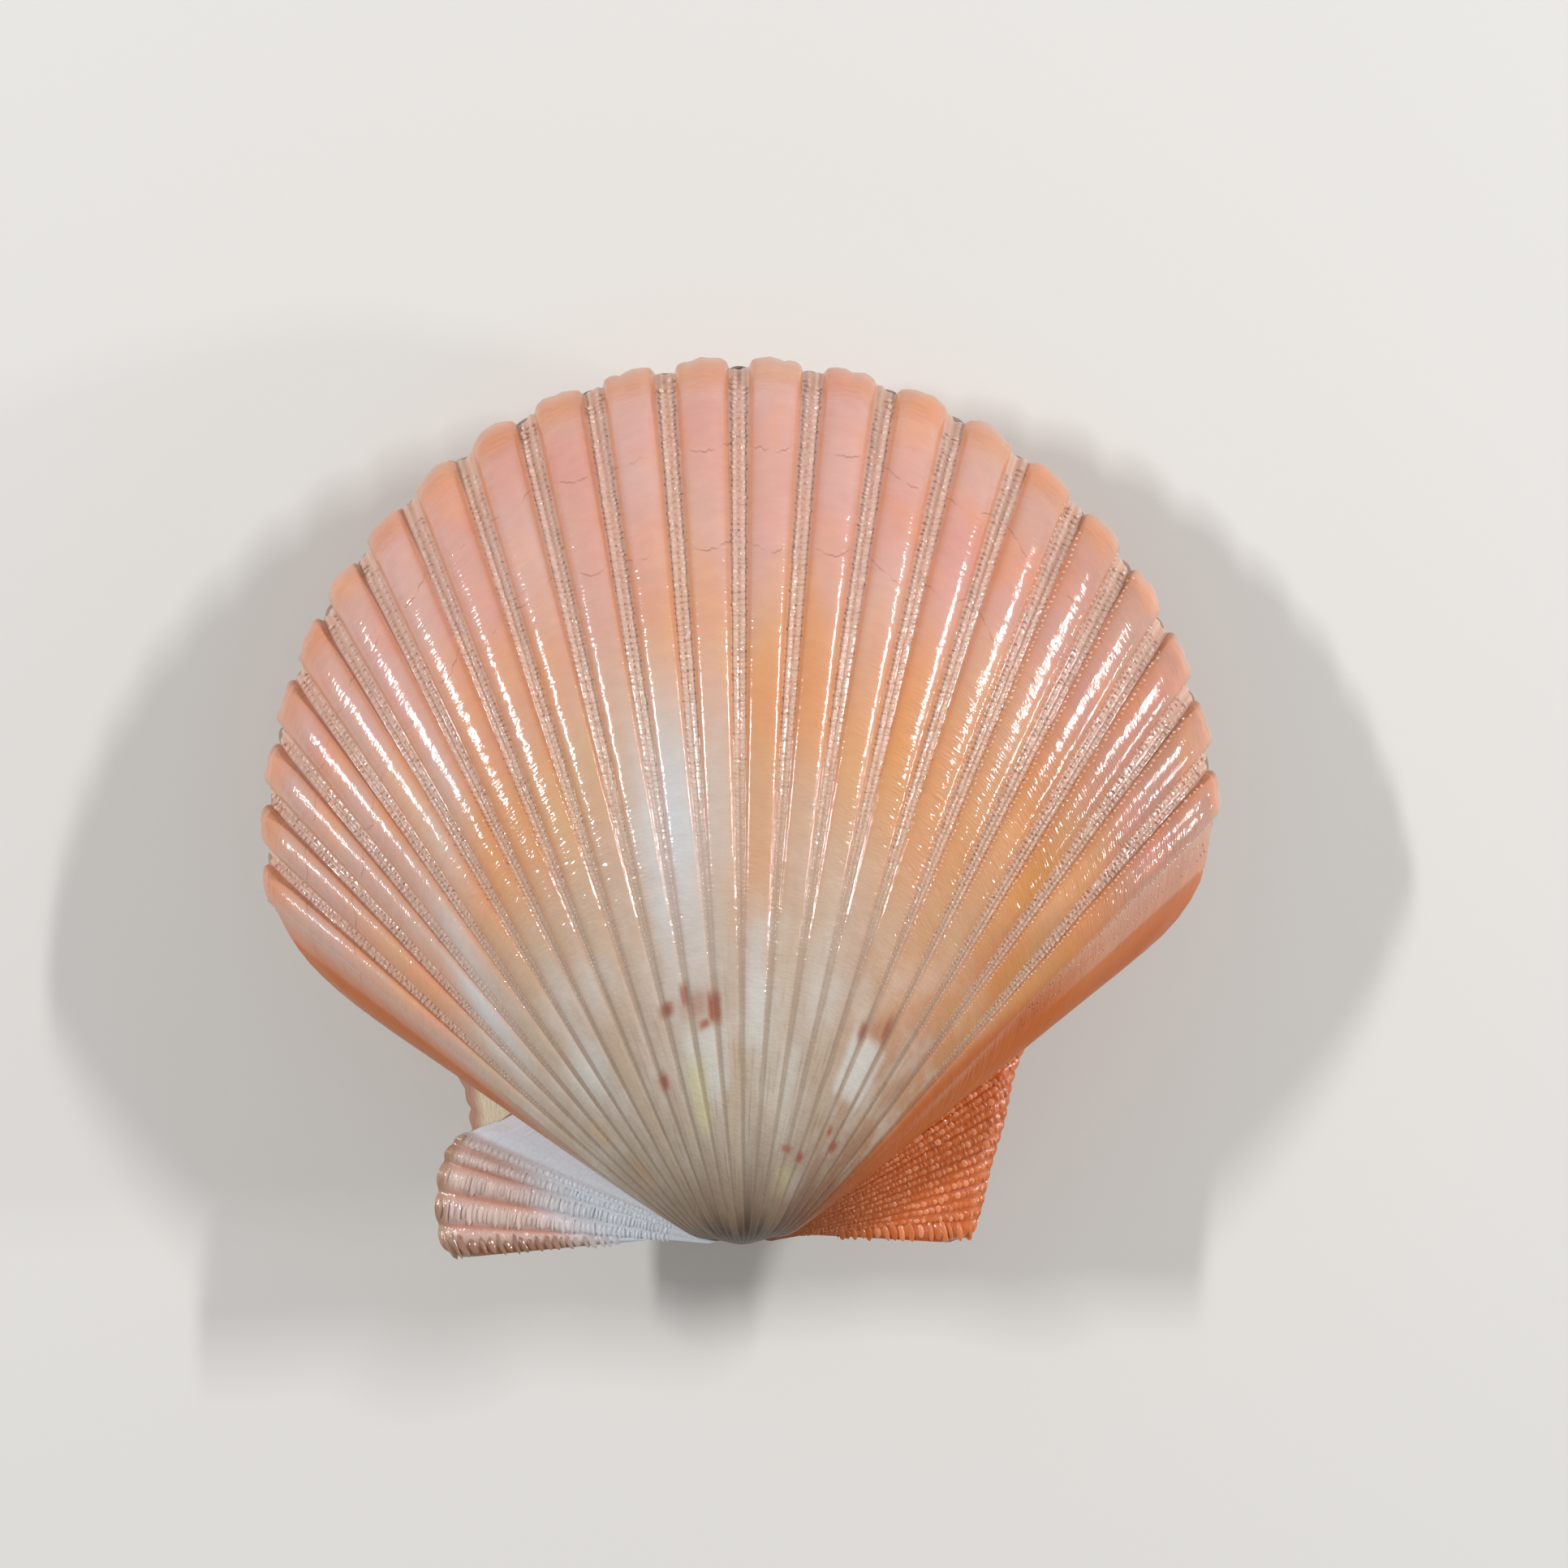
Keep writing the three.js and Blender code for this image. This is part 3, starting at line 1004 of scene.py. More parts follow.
@dataclass
class DiscScales:
    """The rows of small scales in the grooves between the ribs."""

    valve: Valve
    name: str
    first: float = 0.975
    last: float = 0.4
    spacing: float = 0.43
    groove_offset: float = 0.5
    side_grooves: int = 5
    flank_rows: tuple[float, ...] = (21.3, 21.38, 21.45, 21.52)
    flank_last: float = 0.58
    flank_share: float = 0.4
    wall_share: float = 0.5
    middle_place: float = 0.07
    wall_place: float = 0.19
    half_lengths: Point = (0.1, 0.19)
    half_widths: Point = (0.034, 0.056)
    heights: Point = (0.06, 0.21)
    leans: Point = (0.1, 0.9)
    steps: Point = (0.7, 1.35)
    first_spread: float = 0.012
    sideways: float = 0.009

    def rows(self, groove: int) -> list[float]:
        """The rib numbers of the scale rows in one groove, the last groove being the flank's.

        Args:
            groove: The groove's number.

        Returns:
            One rib number for each row.
        """
        middle = groove + self.groove_offset
        if groove == self.valve.plan.ribs - 1:
            return list(self.flank_rows)
        if groove > self.valve.plan.ribs - 2 - self.side_grooves:
            places = (-self.wall_place, -self.middle_place, self.middle_place, self.wall_place)
        else:
            places = (-self.middle_place, self.middle_place)
        return [middle + place for place in places]

    def build(self) -> bpy.types.Object:
        """The scales of every groove.

        Returns:
            The piece.
        """
        rng = np.random.default_rng(self.valve.seed + SEED)
        plan = self.valve.plan
        ribs, scales, pitches = [], [], []
        for groove in range(plan.ribs):
            for rib in self.rows(groove):
                on_arc = min(rib, plan.ribs - 1)
                edge = plan.rib_edge(np.array([on_arc, on_arc + 0.1]))
                reach = float(np.linalg.norm(edge[0]))
                pitch = float(np.linalg.norm(edge[1] - edge[0])) * 10
                scale = self.first + rng.uniform(-self.first_spread, self.first_spread)
                last = self.flank_last if groove == plan.ribs - 1 else self.last
                while scale > last:
                    ribs.append(rib)
                    scales.append(scale)
                    pitches.append(pitch)
                    scale -= self.spacing * scale**0.4 / reach * rng.uniform(*self.steps)
        rib, scale, pitch = np.array(ribs), np.array(scales), np.array(pitches)
        rib = rib + rng.normal(0, self.sideways, len(rib))
        small = 0.25 + 0.75 * ease(0.38, 0.66, scale)
        small = small * (1 - (1 - self.flank_share) * ease(21.2, 21.45, rib))
        place = rib - self.groove_offset
        on_wall = np.abs(place - np.round(place)) > (self.middle_place + self.wall_place) / 2
        small = small * np.where(on_wall, self.wall_share, 1.0)
        grow = ease(0.98, 0.93, scale) * 0.4 + 0.6
        size = np.stack([
            rng.uniform(*self.half_lengths, len(rib)) * (0.4 + 0.6 * small),
            rng.uniform(*self.half_widths, len(rib)) * pitch * scale * (0.35 + 0.65 * small),
            rng.uniform(*self.heights, len(rib)) * small * grow,
        ], -1)
        bed = ScaleBed(self.name, self.valve, sides=6)
        zero = np.zeros_like(rib)
        bed.add(self.valve.disc_spot(rib, scale), size, rng.uniform(*self.leans, len(rib)), {
            "rib": rib, "growth": scale, "crest": zero, "riblet": zero + 1, "across": zero,
            "front_ear": zero, "back_ear": zero, "inside": zero,
            "tone": rng.uniform(0, 1, len(rib))})
        LOG.info("%s: %d scales", self.name, len(rib))
        return bed.build()


@dataclass
class EarScales:
    """The scales on one ear's riblets and the long ones along its hinge edge."""

    valve: Valve
    ear: Ear
    zone: Zone
    name: str
    spacing: float
    width_share: float
    half_length: float
    height: float
    last: float
    hinge_skew: float = 0.0
    hinge_length: float = 1.05
    hinge_stretch: float = 1.6
    hinge_spacing: float = 1.5
    hinge_last: float = 0.4
    hinge_height: float = 0.68

    def build(self) -> bpy.types.Object:
        """The scales of the whole ear.

        Returns:
            The piece.
        """
        rng = np.random.default_rng(self.valve.seed + SEED + 3 + self.zone.value)
        across, scales, wide, hinged = [], [], [], []
        for row, (height, half) in enumerate(self.ear.riblets):
            hinge = row == 0
            place = self.ear.across_at(self.hinge_height if hinge else height)
            reach = float(np.linalg.norm(self.ear.edge(np.array(place))))
            scale = 0.975 + rng.uniform(-0.01, 0.005)
            step = self.spacing * (self.hinge_spacing if hinge else 1)
            while scale > (self.hinge_last if hinge else self.last):
                across.append(place)
                scales.append(scale)
                wide.append(self.hinge_length if hinge else half * self.width_share)
                hinged.append(hinge)
                scale -= step * scale**0.3 / reach * rng.uniform(0.7, 1.3)
        across, scale, wide = np.array(across), np.array(scales), np.array(wide)
        count = len(across)
        across = across + rng.normal(0, 0.004, count)
        size = np.stack([
            self.half_length * rng.uniform(0.6, 1.3, count) * scale**0.3
            * np.where(hinged, self.hinge_stretch, 1.0),
            rng.uniform(0.65, 1.1, count) * scale**0.8 * wide,
            self.height * rng.uniform(0.5, 1.4, count) * scale**0.6 * np.clip(wide, 0.4, 1.0),
        ], -1)
        zero = np.zeros(count)
        bed = ScaleBed(self.name, self.valve, sides=8)
        spot, out, ahead, aside = self.valve.ear_spot(self.ear, across, scale)
        skew = np.where(hinged, self.hinge_skew, 0.0)
        angle = np.radians(skew + rng.normal(0, 3, count))[:, None]
        turned = (ahead * np.cos(angle) - aside * np.sin(angle),
                  aside * np.cos(angle) + ahead * np.sin(angle))
        bed.add((spot, out, *turned), size, rng.uniform(0.3, 1.1, count), {
            "rib": zero - 2 + (25 if self.zone is Zone.BACK_EAR else 0),
            "growth": scale, "crest": zero + 0.5, "riblet": zero + 1, "across": across,
            "front_ear": zero + (self.zone is Zone.FRONT_EAR),
            "back_ear": zero + (self.zone is Zone.BACK_EAR),
            "inside": zero, "tone": rng.uniform(0, 1, count)})
        LOG.info("%s: %d scales", self.name, count)
        return bed.build()


@dataclass
class Ligament:
    """The dark horny strip between the valves along the hinge line."""

    plan: GrowthPlan
    rest: Rest
    left: float = -15.3
    right: float = 12.3
    columns: int = 180
    around: int = 18
    half_height: float = 0.3
    back: float = 0.1
    front: float = 1.2
    front_share: float = 0.8
    hinge_corners: Point = (-22.6, 17.2)

    def build(self) -> bpy.types.Object:
        """The strip as a closed mesh, fibrous along its outer face.

        Returns:
            The piece.
        """
        t = np.linspace(0, 1, self.columns)
        x = self.left + (self.right - self.left) * t
        taper = np.sqrt(np.clip(1 - (2 * t - 1) ** 8, 0.02, 1))
        angle = np.arange(self.around) / self.around * 2 * math.pi
        reach = np.where(x < 0, x / self.hinge_corners[0], x / self.hinge_corners[1])
        hinge = self.plan.bow(reach) + self.plan.forward(reach)
        back = self.back + hinge + 0.04 * wander(x * 0.9, 5, 9)
        front = self.front + hinge * self.front_share
        middle, half = (back + front) / 2, (front - back) / 2 * taper
        y = middle[:, None] + np.cos(angle) * half[:, None]
        cords = 0.03 * np.sin(angle * 9 + 1.3 * wander(x * 0.2, 8)[:, None])
        z = np.sin(angle) * (self.half_height * taper[:, None] + cords * taper[:, None])
        grid = np.stack([np.broadcast_to(x[:, None], y.shape), y, z], -1)
        numbers = np.arange(grid[..., 0].size).reshape(y.shape)
        looped = np.concatenate([numbers, numbers[:, :1]], 1)
        faces = Valve.quads(looped) + [numbers[0].tolist(), numbers[-1][::-1].tolist()]
        points = self.rest.lay(grid.reshape(-1, 3))
        along = np.broadcast_to(x[:, None], y.shape).ravel()
        turn = np.broadcast_to(angle, y.shape).ravel()
        facets = Facets(points, faces, {"along": along, "turn": turn})
        made = make_object("ligament", facets, 50, mend=True)
        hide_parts("hinge_ligament")
        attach(made, "root")
        return made


# ---------------------------------------------------------------- shader trees


class Sheet:
    """Short ways to lay out the nodes of one tree."""

    def __init__(self, tree: bpy.types.NodeTree) -> None:
        """Keeps the tree that nodes are added to."""
        self.tree = tree

    def add(self, kind: str, **settings: object) -> bpy.types.Node:
        """A new node of a kind, with its own settings.

        Args:
            kind: Blender's name for the kind of node.
            **settings: What is set on it, by name.

        Returns:
            The node.
        """
        node = self.tree.nodes.new(kind)
        for name, value in settings.items():
            setattr(node, name, value)
        return node

    def put(self, socket: bpy.types.NodeSocket, value: object) -> None:
        """Feeds a socket, from another socket or with a plain value.

        Args:
            socket: The socket that is fed.
            value: Another socket, a plain value, or None to leave it.
        """
        if isinstance(value, bpy.types.NodeSocket):
            self.tree.links.new(value, socket)
        elif value is not None:
            socket.default_value = value

    def math(self, operation: str, a: object, b: object = None, c: object = None,
             clamp: bool = False) -> bpy.types.NodeSocket:
        """A sum of one to three values.

        Args:
            operation: What is done to the values.
            a: The first value.
            b: The second value, if any.
            c: The third value, if any.
            clamp: Whether the result is kept from 0 to 1.

        Returns:
            The result.
        """
        node = self.add("ShaderNodeMath", operation=operation, use_clamp=clamp)
        for socket, value in zip(node.inputs, (a, b, c)):
            self.put(socket, value)
        return node.outputs[0]

    def mix(self, factor: object, a: object, b: object, blend: str = "MIX") -> bpy.types.NodeSocket:
        """A colour between two.

        Args:
            factor: How much of the second colour there is.
            a: The first colour.
            b: The second colour.
            blend: How the second is laid over the first.

        Returns:
            The mixed colour.
        """
        node = self.add("ShaderNodeMix", data_type="RGBA", blend_type=blend, clamp_factor=True)
        for name, value in (("Factor_Float", factor), ("A_Color", a), ("B_Color", b)):
            self.put(next(s for s in node.inputs if s.identifier == name), value)
        return next(s for s in node.outputs if s.identifier == "Result_Color")

    def step(self, value: object, low: object, high: object) -> bpy.types.NodeSocket:
        """A smooth step from 0 at low to 1 at high.

        Args:
            value: What is read.
            low: Where the step starts.
            high: Where it ends.

        Returns:
            The step.
        """
        node = self.add("ShaderNodeMapRange", interpolation_type="SMOOTHSTEP", clamp=True)
        for name, given in (("Value", value), ("From Min", low), ("From Max", high)):
            self.put(node.inputs[name], given)
        return node.outputs["Result"]

    def ramp(self, value: object, stops: tuple[tuple[float, Colour], ...]) -> bpy.types.NodeSocket:
        """A colour that changes with a value, through the given stops.

        Args:
            value: What is read.
            stops: Places from 0 to 1 with their colours.

        Returns:
            The colour.
        """
        node = self.add("ShaderNodeValToRGB")
        marks = node.color_ramp.elements
        while len(marks) < len(stops):
            marks.new(1.0)
        for mark, (place, colour) in zip(marks, stops):
            mark.position = place
            mark.color = colour
        self.put(node.inputs[0], value)
        return node.outputs["Color"]

    def noise(self, vector: object, scale: object, detail: float) -> bpy.types.NodeSocket:
        """Cloudy noise between about 0 and 1.

        Args:
            vector: Where the noise is read.
            scale: How fine it is.
            detail: How many layers it has.

        Returns:
            The noise.
        """
        node = self.add("ShaderNodeTexNoise")
        for name, given in (("Vector", vector), ("Scale", scale), ("Detail", detail)):
            self.put(node.inputs[name], given)
        return node.outputs["Fac"]

    def cloud(self, x: object, y: object, paces: Point, layer: float = 0.0,
              detail: float = 2.0) -> bpy.types.NodeSocket:
        """Cloudy noise over two values, each at its own pace.

        Args:
            x: The first value, such as the rib number.
            y: The second value, such as the growth stage.
            paces: How fast the noise changes with each of the two.
            layer: Picks one of many unlike noises.
            detail: How many layers the noise has.

        Returns:
            The noise.
        """
        along, across = (self.math("MULTIPLY", v, pace) for v, pace in zip((x, y), paces))
        return self.noise(self.trio(along, across, layer), 1.0, detail)

    def trio(self, x: object, y: object, z: object = 0.0) -> bpy.types.NodeSocket:
        """Three values as a vector.

        Args:
            x: The first value.
            y: The second value.
            z: The third value.

        Returns:
            The vector.
        """
        node = self.add("ShaderNodeCombineXYZ")
        for socket, value in zip(node.inputs, (x, y, z)):
            self.put(socket, value)
        return node.outputs[0]

    def read(self, name: str) -> bpy.types.NodeSocket:
        """A value that is kept at the mesh's points."""
        return self.add("ShaderNodeAttribute", attribute_name=name).outputs["Fac"]

    def use(self, effect: "Effect", **inputs: object) -> bpy.types.Node:
        """Places an effect's group, fed by name.

        Args:
            effect: The effect.
            **inputs: What feeds its inputs, with underscores for spaces.

        Returns:
            The group's node.
        """
        node = self.add("ShaderNodeGroup", node_tree=effect.tree())
        for name, value in inputs.items():
            self.put(node.inputs[name.replace("_", " ").capitalize()], value)
        return node


def blank_material(name: str) -> bpy.types.Material:
    """A new material with an empty tree.

    Args:
        name: The material's name.

    Returns:
        The material.
    """
    made = bpy.data.materials.new(name)
    made.use_nodes = True
    made.node_tree.nodes.clear()
    return made


class Effect:
    """A shader node group that several finishes share, built the first time that it is used."""

    name = ""
    takes: tuple[tuple[str, str, object], ...] = ()
    gives: tuple[tuple[str, str], ...] = ()

    def __init__(self) -> None:
        """Starts with no group."""
        self._tree: bpy.types.NodeTree | None = None

    def tree(self) -> bpy.types.NodeTree:
        """The group, built once.

        Returns:
            The group.
        """
        if self._tree is None:
            self._tree = bpy.data.node_groups.new(self.name, "ShaderNodeTree")
            for name, kind, default in self.takes:
                socket = self._tree.interface.new_socket(name, in_out="INPUT", socket_type=kind)
                socket.default_value = default
            for name, kind in self.gives:
                self._tree.interface.new_socket(name, in_out="OUTPUT", socket_type=kind)
            sheet = Sheet(self._tree)
            enter = sheet.add("NodeGroupInput")
            leave = sheet.add("NodeGroupOutput")
            for name, value in self.draw(sheet, enter.outputs).items():
                sheet.put(leave.inputs[name], value)
        return self._tree

    def draw(self, sheet: Sheet, given: bpy.types.NodeOutputs) -> dict[str, object]:
        """Lays out the group's nodes and returns what feeds each output."""
        raise NotImplementedError


FLOAT, COLOUR = "NodeSocketFloat", "NodeSocketColor"


class Patch(Effect):
    """A soft-edged mark on the disc, placed by rib number and growth stage."""

    name = "patch"
    takes = (("Rib", FLOAT, 0.0), ("Growth", FLOAT, 0.5), ("At rib", FLOAT, 10.0),
             ("At growth", FLOAT, 0.5), ("Half ribs", FLOAT, 1.0), ("Half growth", FLOAT, 0.1),
             ("Softness", FLOAT, 0.5), ("Lean", FLOAT, 0.0))
    gives = (("Mask", FLOAT),)

    def draw(self, sheet: Sheet, given: bpy.types.NodeOutputs) -> dict[str, object]:
        """A box with soft sides in rib and growth.

        Args:
            sheet: The tree that the nodes go into.
            given: The group's inputs.

        Returns:
            What feeds each output, by name.
        """
        up = sheet.math("SUBTRACT", given["Growth"], given["At growth"])
        middle = sheet.math("MULTIPLY_ADD", up, given["Lean"], given["At rib"])
        beside = sheet.math("SUBTRACT", given["Rib"], middle)
        inner = sheet.math("SUBTRACT", 1.0, given["Softness"])
        masks = []
        for offset, half in ((beside, given["Half ribs"]), (up, given["Half growth"])):
            away = sheet.math("DIVIDE", sheet.math("ABSOLUTE", offset), half)
            masks.append(sheet.math("SUBTRACT", 1.0, sheet.step(away, inner, 1.0)))
        return {"Mask": sheet.math("MULTIPLY", *masks)}


class GrowthLines(Effect):
    """The fine raised lines that each stage of growth leaves along the margin."""

    name = "growth_lines"
    takes = (("Rib", FLOAT, 0.0), ("Growth", FLOAT, 0.5), ("Across", FLOAT, 0.0),
             ("Fineness", FLOAT, 1.0))
    gives = (("Height", FLOAT), ("Tint", FLOAT))

    def draw(self, sheet: Sheet, given: bpy.types.NodeOutputs) -> dict[str, object]:
        """Noise drawn out along the margin, fine and coarse.

        Args:
            sheet: The tree that the nodes go into.
            given: The group's inputs.

        Returns:
            What feeds each output, by name.
        """
        side = sheet.math("ADD", given["Rib"], sheet.math("MULTIPLY", given["Across"], 9.0))
        run = sheet.math("MULTIPLY", given["Growth"], given["Fineness"])
        fine = sheet.cloud(side, run, (5.0, 330.0), detail=1.0)
        coarse = sheet.cloud(side, run, (2.4, 90.0), 7.0)
        height = sheet.math("MULTIPLY_ADD", coarse, 0.9, sheet.math("MULTIPLY", fine, 0.6))
        return {"Height": height, "Tint": coarse}


class ArrestLine(Effect):
    """A thin brown line where growth once stopped, sagging on each rib."""

    name = "arrest_line"
    takes = (("Rib", FLOAT, 0.0), ("Growth", FLOAT, 0.5), ("At growth", FLOAT, 0.9),
             ("Sag", FLOAT, 0.012), ("Width", FLOAT, 0.0016))
    gives = (("Mask", FLOAT),)

    def draw(self, sheet: Sheet, given: bpy.types.NodeOutputs) -> dict[str, object]:
        """A narrow band about a wavy growth stage, broken here and there.

        Args:
            sheet: The tree that the nodes go into.
            given: The group's inputs.

        Returns:
            What feeds each output, by name.
        """
        rib, stage = given["Rib"], given["At growth"]
        beside = sheet.math("SUBTRACT", rib, sheet.math("ROUND", rib))
        lifted = sheet.math("MULTIPLY", sheet.math("MULTIPLY", beside, beside), 9.0)
        drift = sheet.cloud(rib, stage, (0.8, 1.0))
        drift = sheet.math("MULTIPLY", sheet.math("SUBTRACT", drift, 0.5), 0.05)
        shake = sheet.cloud(rib, stage, (9.0, 1.0), 5.0, 3.0)
        drift = sheet.math("MULTIPLY_ADD", sheet.math("SUBTRACT", shake, 0.5), 0.012, drift)
        line = sheet.math("ADD", stage, drift)
        line = sheet.math("ADD", line, sheet.math("MULTIPLY", lifted, given["Sag"]))
        away = sheet.math("ABSOLUTE", sheet.math("SUBTRACT", given["Growth"], line))
        away = sheet.math("DIVIDE", away, given["Width"])
        band = sheet.math("SUBTRACT", 1.0, sheet.step(away, 0.2, 1.0))
        gaps = sheet.cloud(rib, stage, (3.1, 1.0), 3.0, 1.0)
        return {"Mask": sheet.math("MULTIPLY", band, sheet.step(gaps, 0.44, 0.6))}


class Mottle(Effect):
    """Faint cloudiness, alike in every direction, from spots of some millimetres to fine grain."""

    name = "mottle"
    takes = (("Cloud size", FLOAT, 3.0),)
    gives = (("Cloud", FLOAT), ("Grain", FLOAT))

    def draw(self, sheet: Sheet, given: bpy.types.NodeOutputs) -> dict[str, object]:
        """Two sizes of noise in the object's own space.

        Args:
            sheet: The tree that the nodes go into.
            given: The group's inputs.

        Returns:
            What feeds each output, by name.
        """
        place = sheet.add("ShaderNodeTexCoord").outputs["Object"]
        scale = sheet.math("DIVIDE", 1.0 / METRES_PER_MM, given["Cloud size"])
        return {"Cloud": sheet.noise(place, scale, 3.0), "Grain": sheet.noise(place, 5200.0, 2.0)}


class ShellColour(Effect):
    """The colour of the outer shell by growth stage and rib, before grooves, ears and marks."""

    name = "shell_colour"
    takes = (("Rib", FLOAT, 0.0), ("Growth", FLOAT, 0.5))
    gives = (("Color", COLOUR),)

    # The darkest stops by the beak, and the umber and russet after them, are partly the beak's own
    # brown and partly painted shade where the beak curls away from the light.
    horn = paint(64, 42, 28)
    umber = paint(142, 122, 102)
    sand = paint(184, 168, 150)
    oat = paint(198, 172, 150)
    peach = paint(208, 162, 126)
    rose = paint(218, 165, 152)
    blush = paint(204, 163, 147)
    lip_orange = paint(214, 150, 120)
    lip_pale = paint(204, 174, 158)
    russet = paint(112, 68, 40)
    clay = paint(178, 136, 106)
    amber = paint(194, 132, 80)
    mauve = paint(186, 134, 116)

    # Each run starts dark by the beak: partly its own brown, partly painted shade.
    middle = ((0.07, horn), (0.12, umber), (0.22, sand), (0.4, oat), (0.6, peach), (0.8, rose),
              (0.955, rose), (0.976, lip_orange), (0.992, lip_orange), (1.0, lip_pale))
    left = ((0.05, horn), (0.14, umber), (0.27, sand), (0.48, oat), (0.68, blush), (0.94, blush),
            (0.972, lip_orange), (0.992, lip_orange), (1.0, lip_pale))
    right = ((0.05, horn), (0.13, russet), (0.3, clay), (0.5, amber), (0.68, amber), (0.84, mauve),
             (0.972, mauve), (0.992, lip_orange), (1.0, lip_pale))
    gold = paint(232, 158, 98)
    orange = paint(236, 154, 112)

    def draw(self, sheet: Sheet, given: bpy.types.NodeOutputs) -> dict[str, object]:
        """Three runs of colour, mixed by how near a place is to the shell's sides.

        Args:
            sheet: The tree that the nodes go into.
            given: The group's inputs.

        Returns:
            What feeds each output, by name.
        """
        rib, growth = given["Rib"], given["Growth"]
        shake = sheet.cloud(sheet.math("ROUND", rib), growth, (3.7, 5.0), detail=1.0)
        shake = sheet.math("SUBTRACT", shake, 0.5)
        free = sheet.step(growth, 0.96, 0.9)
        moved = sheet.math("MULTIPLY_ADD", sheet.math("MULTIPLY", shake, free), 0.1, growth)
        side = sheet.math("MULTIPLY_ADD", rib, 2 / 21, -1.0)
        colour = sheet.mix(sheet.step(side, -0.3, -0.95), sheet.ramp(moved, self.middle),
                           sheet.ramp(moved, self.left))
        colour = sheet.mix(sheet.step(side, 0.3, 0.92), colour, sheet.ramp(moved, self.right))
        golden = sheet.math("MULTIPLY", sheet.step(moved, 0.5, 0.66), sheet.step(moved, 0.86, 0.72))
        patchy = sheet.cloud(rib, growth, (0.62, 4.0), 9.0)
        golden = sheet.math("MULTIPLY", golden, sheet.step(patchy, 0.42, 0.62))
        colour = sheet.mix(sheet.math("MULTIPLY", golden, 0.45), colour, self.gold)
        rosy = sheet.cloud(rib, growth, (1.3, 12.0), 2.0)
        late = sheet.step(growth, 0.74, 0.86)
        rosy = sheet.math("MULTIPLY", sheet.step(rosy, 0.45, 0.7), late)
        colour = sheet.mix(sheet.math("MULTIPLY", rosy, 0.38), colour, self.orange)
        tone = sheet.add("ShaderNodeHueSaturation")
        wash = sheet.cloud(rib, growth, (0.9, 9.0), 4.0)
        sheet.put(tone.inputs["Hue"], sheet.math("MULTIPLY_ADD", wash, 0.035, 0.4825))
        sheet.put(tone.inputs["Saturation"], sheet.math("MULTIPLY_ADD", shake, 0.5, 1.0))
        sheet.put(tone.inputs["Color"], colour)
        return {"Color": tone.outputs["Color"]}


PATCH, LINES, ARREST = Patch(), GrowthLines(), ArrestLine()
MOTTLE, SHELL_COLOUR = Mottle(), ShellColour()


@dataclass(frozen=True)
class Mark:
    """One mark on the disc: where it is by rib and growth, how large, how soft and how strong."""

    rib: float
    growth: float
    half_ribs: float
    half_growth: float
    softness: float = 0.6
    strength: float = 1.0
    lean: float = 0.0


WHITE_STREAKS = (
    Mark(9.8, 0.52, 1.7, 0.23, 1.0, 1.0), Mark(9.3, 0.46, 0.9, 0.14, 1.0, 0.8),
    Mark(10.9, 0.56, 0.8, 0.18, 1.0, 0.5), Mark(2.2, 0.54, 1.3, 0.18, 1.0, 0.85, 8.4),
    Mark(12.0, 0.37, 0.6, 0.09, 0.9, 0.5), Mark(4.0, 0.67, 1.6, 0.14, 1.0, 0.35, 5.0),
)
PALE_PATCHES = (
    Mark(9.9, 0.285, 1.4, 0.05, 0.6, 0.8), Mark(3.9, 0.35, 1.9, 0.07, 1.0, 0.85),
    Mark(12.1, 0.33, 0.9, 0.07, 0.8, 0.7), Mark(16.9, 0.31, 1.05, 0.045, 0.4, 0.85),
    Mark(16.0, 0.155, 1.3, 0.03, 1.0, 0.3), Mark(13.6, 0.27, 0.7, 0.06, 0.8, 0.5),
    Mark(6.1, 0.41, 1.4, 0.06, 1.0, 0.5), Mark(14.4, 0.36, 1.2, 0.06, 0.9, 0.35),
)
GOLD_PATCHES = (
    Mark(5.0, 0.61, 2.4, 0.13, 1.0, 0.75), Mark(12.8, 0.66, 1.9, 0.13, 1.0, 0.55),
    Mark(16.0, 0.62, 2.6, 0.2, 1.0, 0.7), Mark(17.6, 0.44, 2.0, 0.12, 1.0, 0.35),
    Mark(7.0, 0.73, 1.5, 0.1, 1.0, 0.4), Mark(11.9, 0.48, 1.2, 0.1, 1.0, 0.4),
)
GREEN_PATCHES = (Mark(9.3, 0.25, 0.75, 0.055, 0.7, 0.7), Mark(14.8, 0.16, 1.2, 0.03, 0.9, 0.4))
OCHRE_PATCHES = (Mark(2.3, 0.3, 0.9, 0.035, 0.9, 0.55), Mark(2.9, 0.215, 1.6, 0.035, 0.9, 0.35))
RED_MARKS = (
    Mark(9.7, 0.343, 1.1, 0.02, 0.9, 0.4), Mark(16.9, 0.36, 0.8, 0.022, 1.0, 0.45),
    Mark(8.6, 0.345, 0.5, 0.012, 0.9, 0.9), Mark(9.4, 0.352, 0.28, 0.02, 0.8, 0.85),
    Mark(10.45, 0.335, 0.4, 0.024, 0.8, 1.0), Mark(10.0, 0.322, 0.4, 0.01, 0.9, 0.8),
    Mark(7.6, 0.277, 0.42, 0.017, 0.9, 0.9), Mark(16.42, 0.35, 0.34, 0.022, 0.9, 0.9),
    Mark(17.35, 0.368, 0.36, 0.026, 0.9, 0.9), Mark(15.6, 0.19, 0.42, 0.012, 0.9, 1.0),
    Mark(14.5, 0.194, 0.6, 0.008, 0.9, 0.7), Mark(17.65, 0.222, 0.5, 0.014, 0.9, 0.9),
    Mark(16.9, 0.235, 0.26, 0.01, 0.9, 0.8),
)


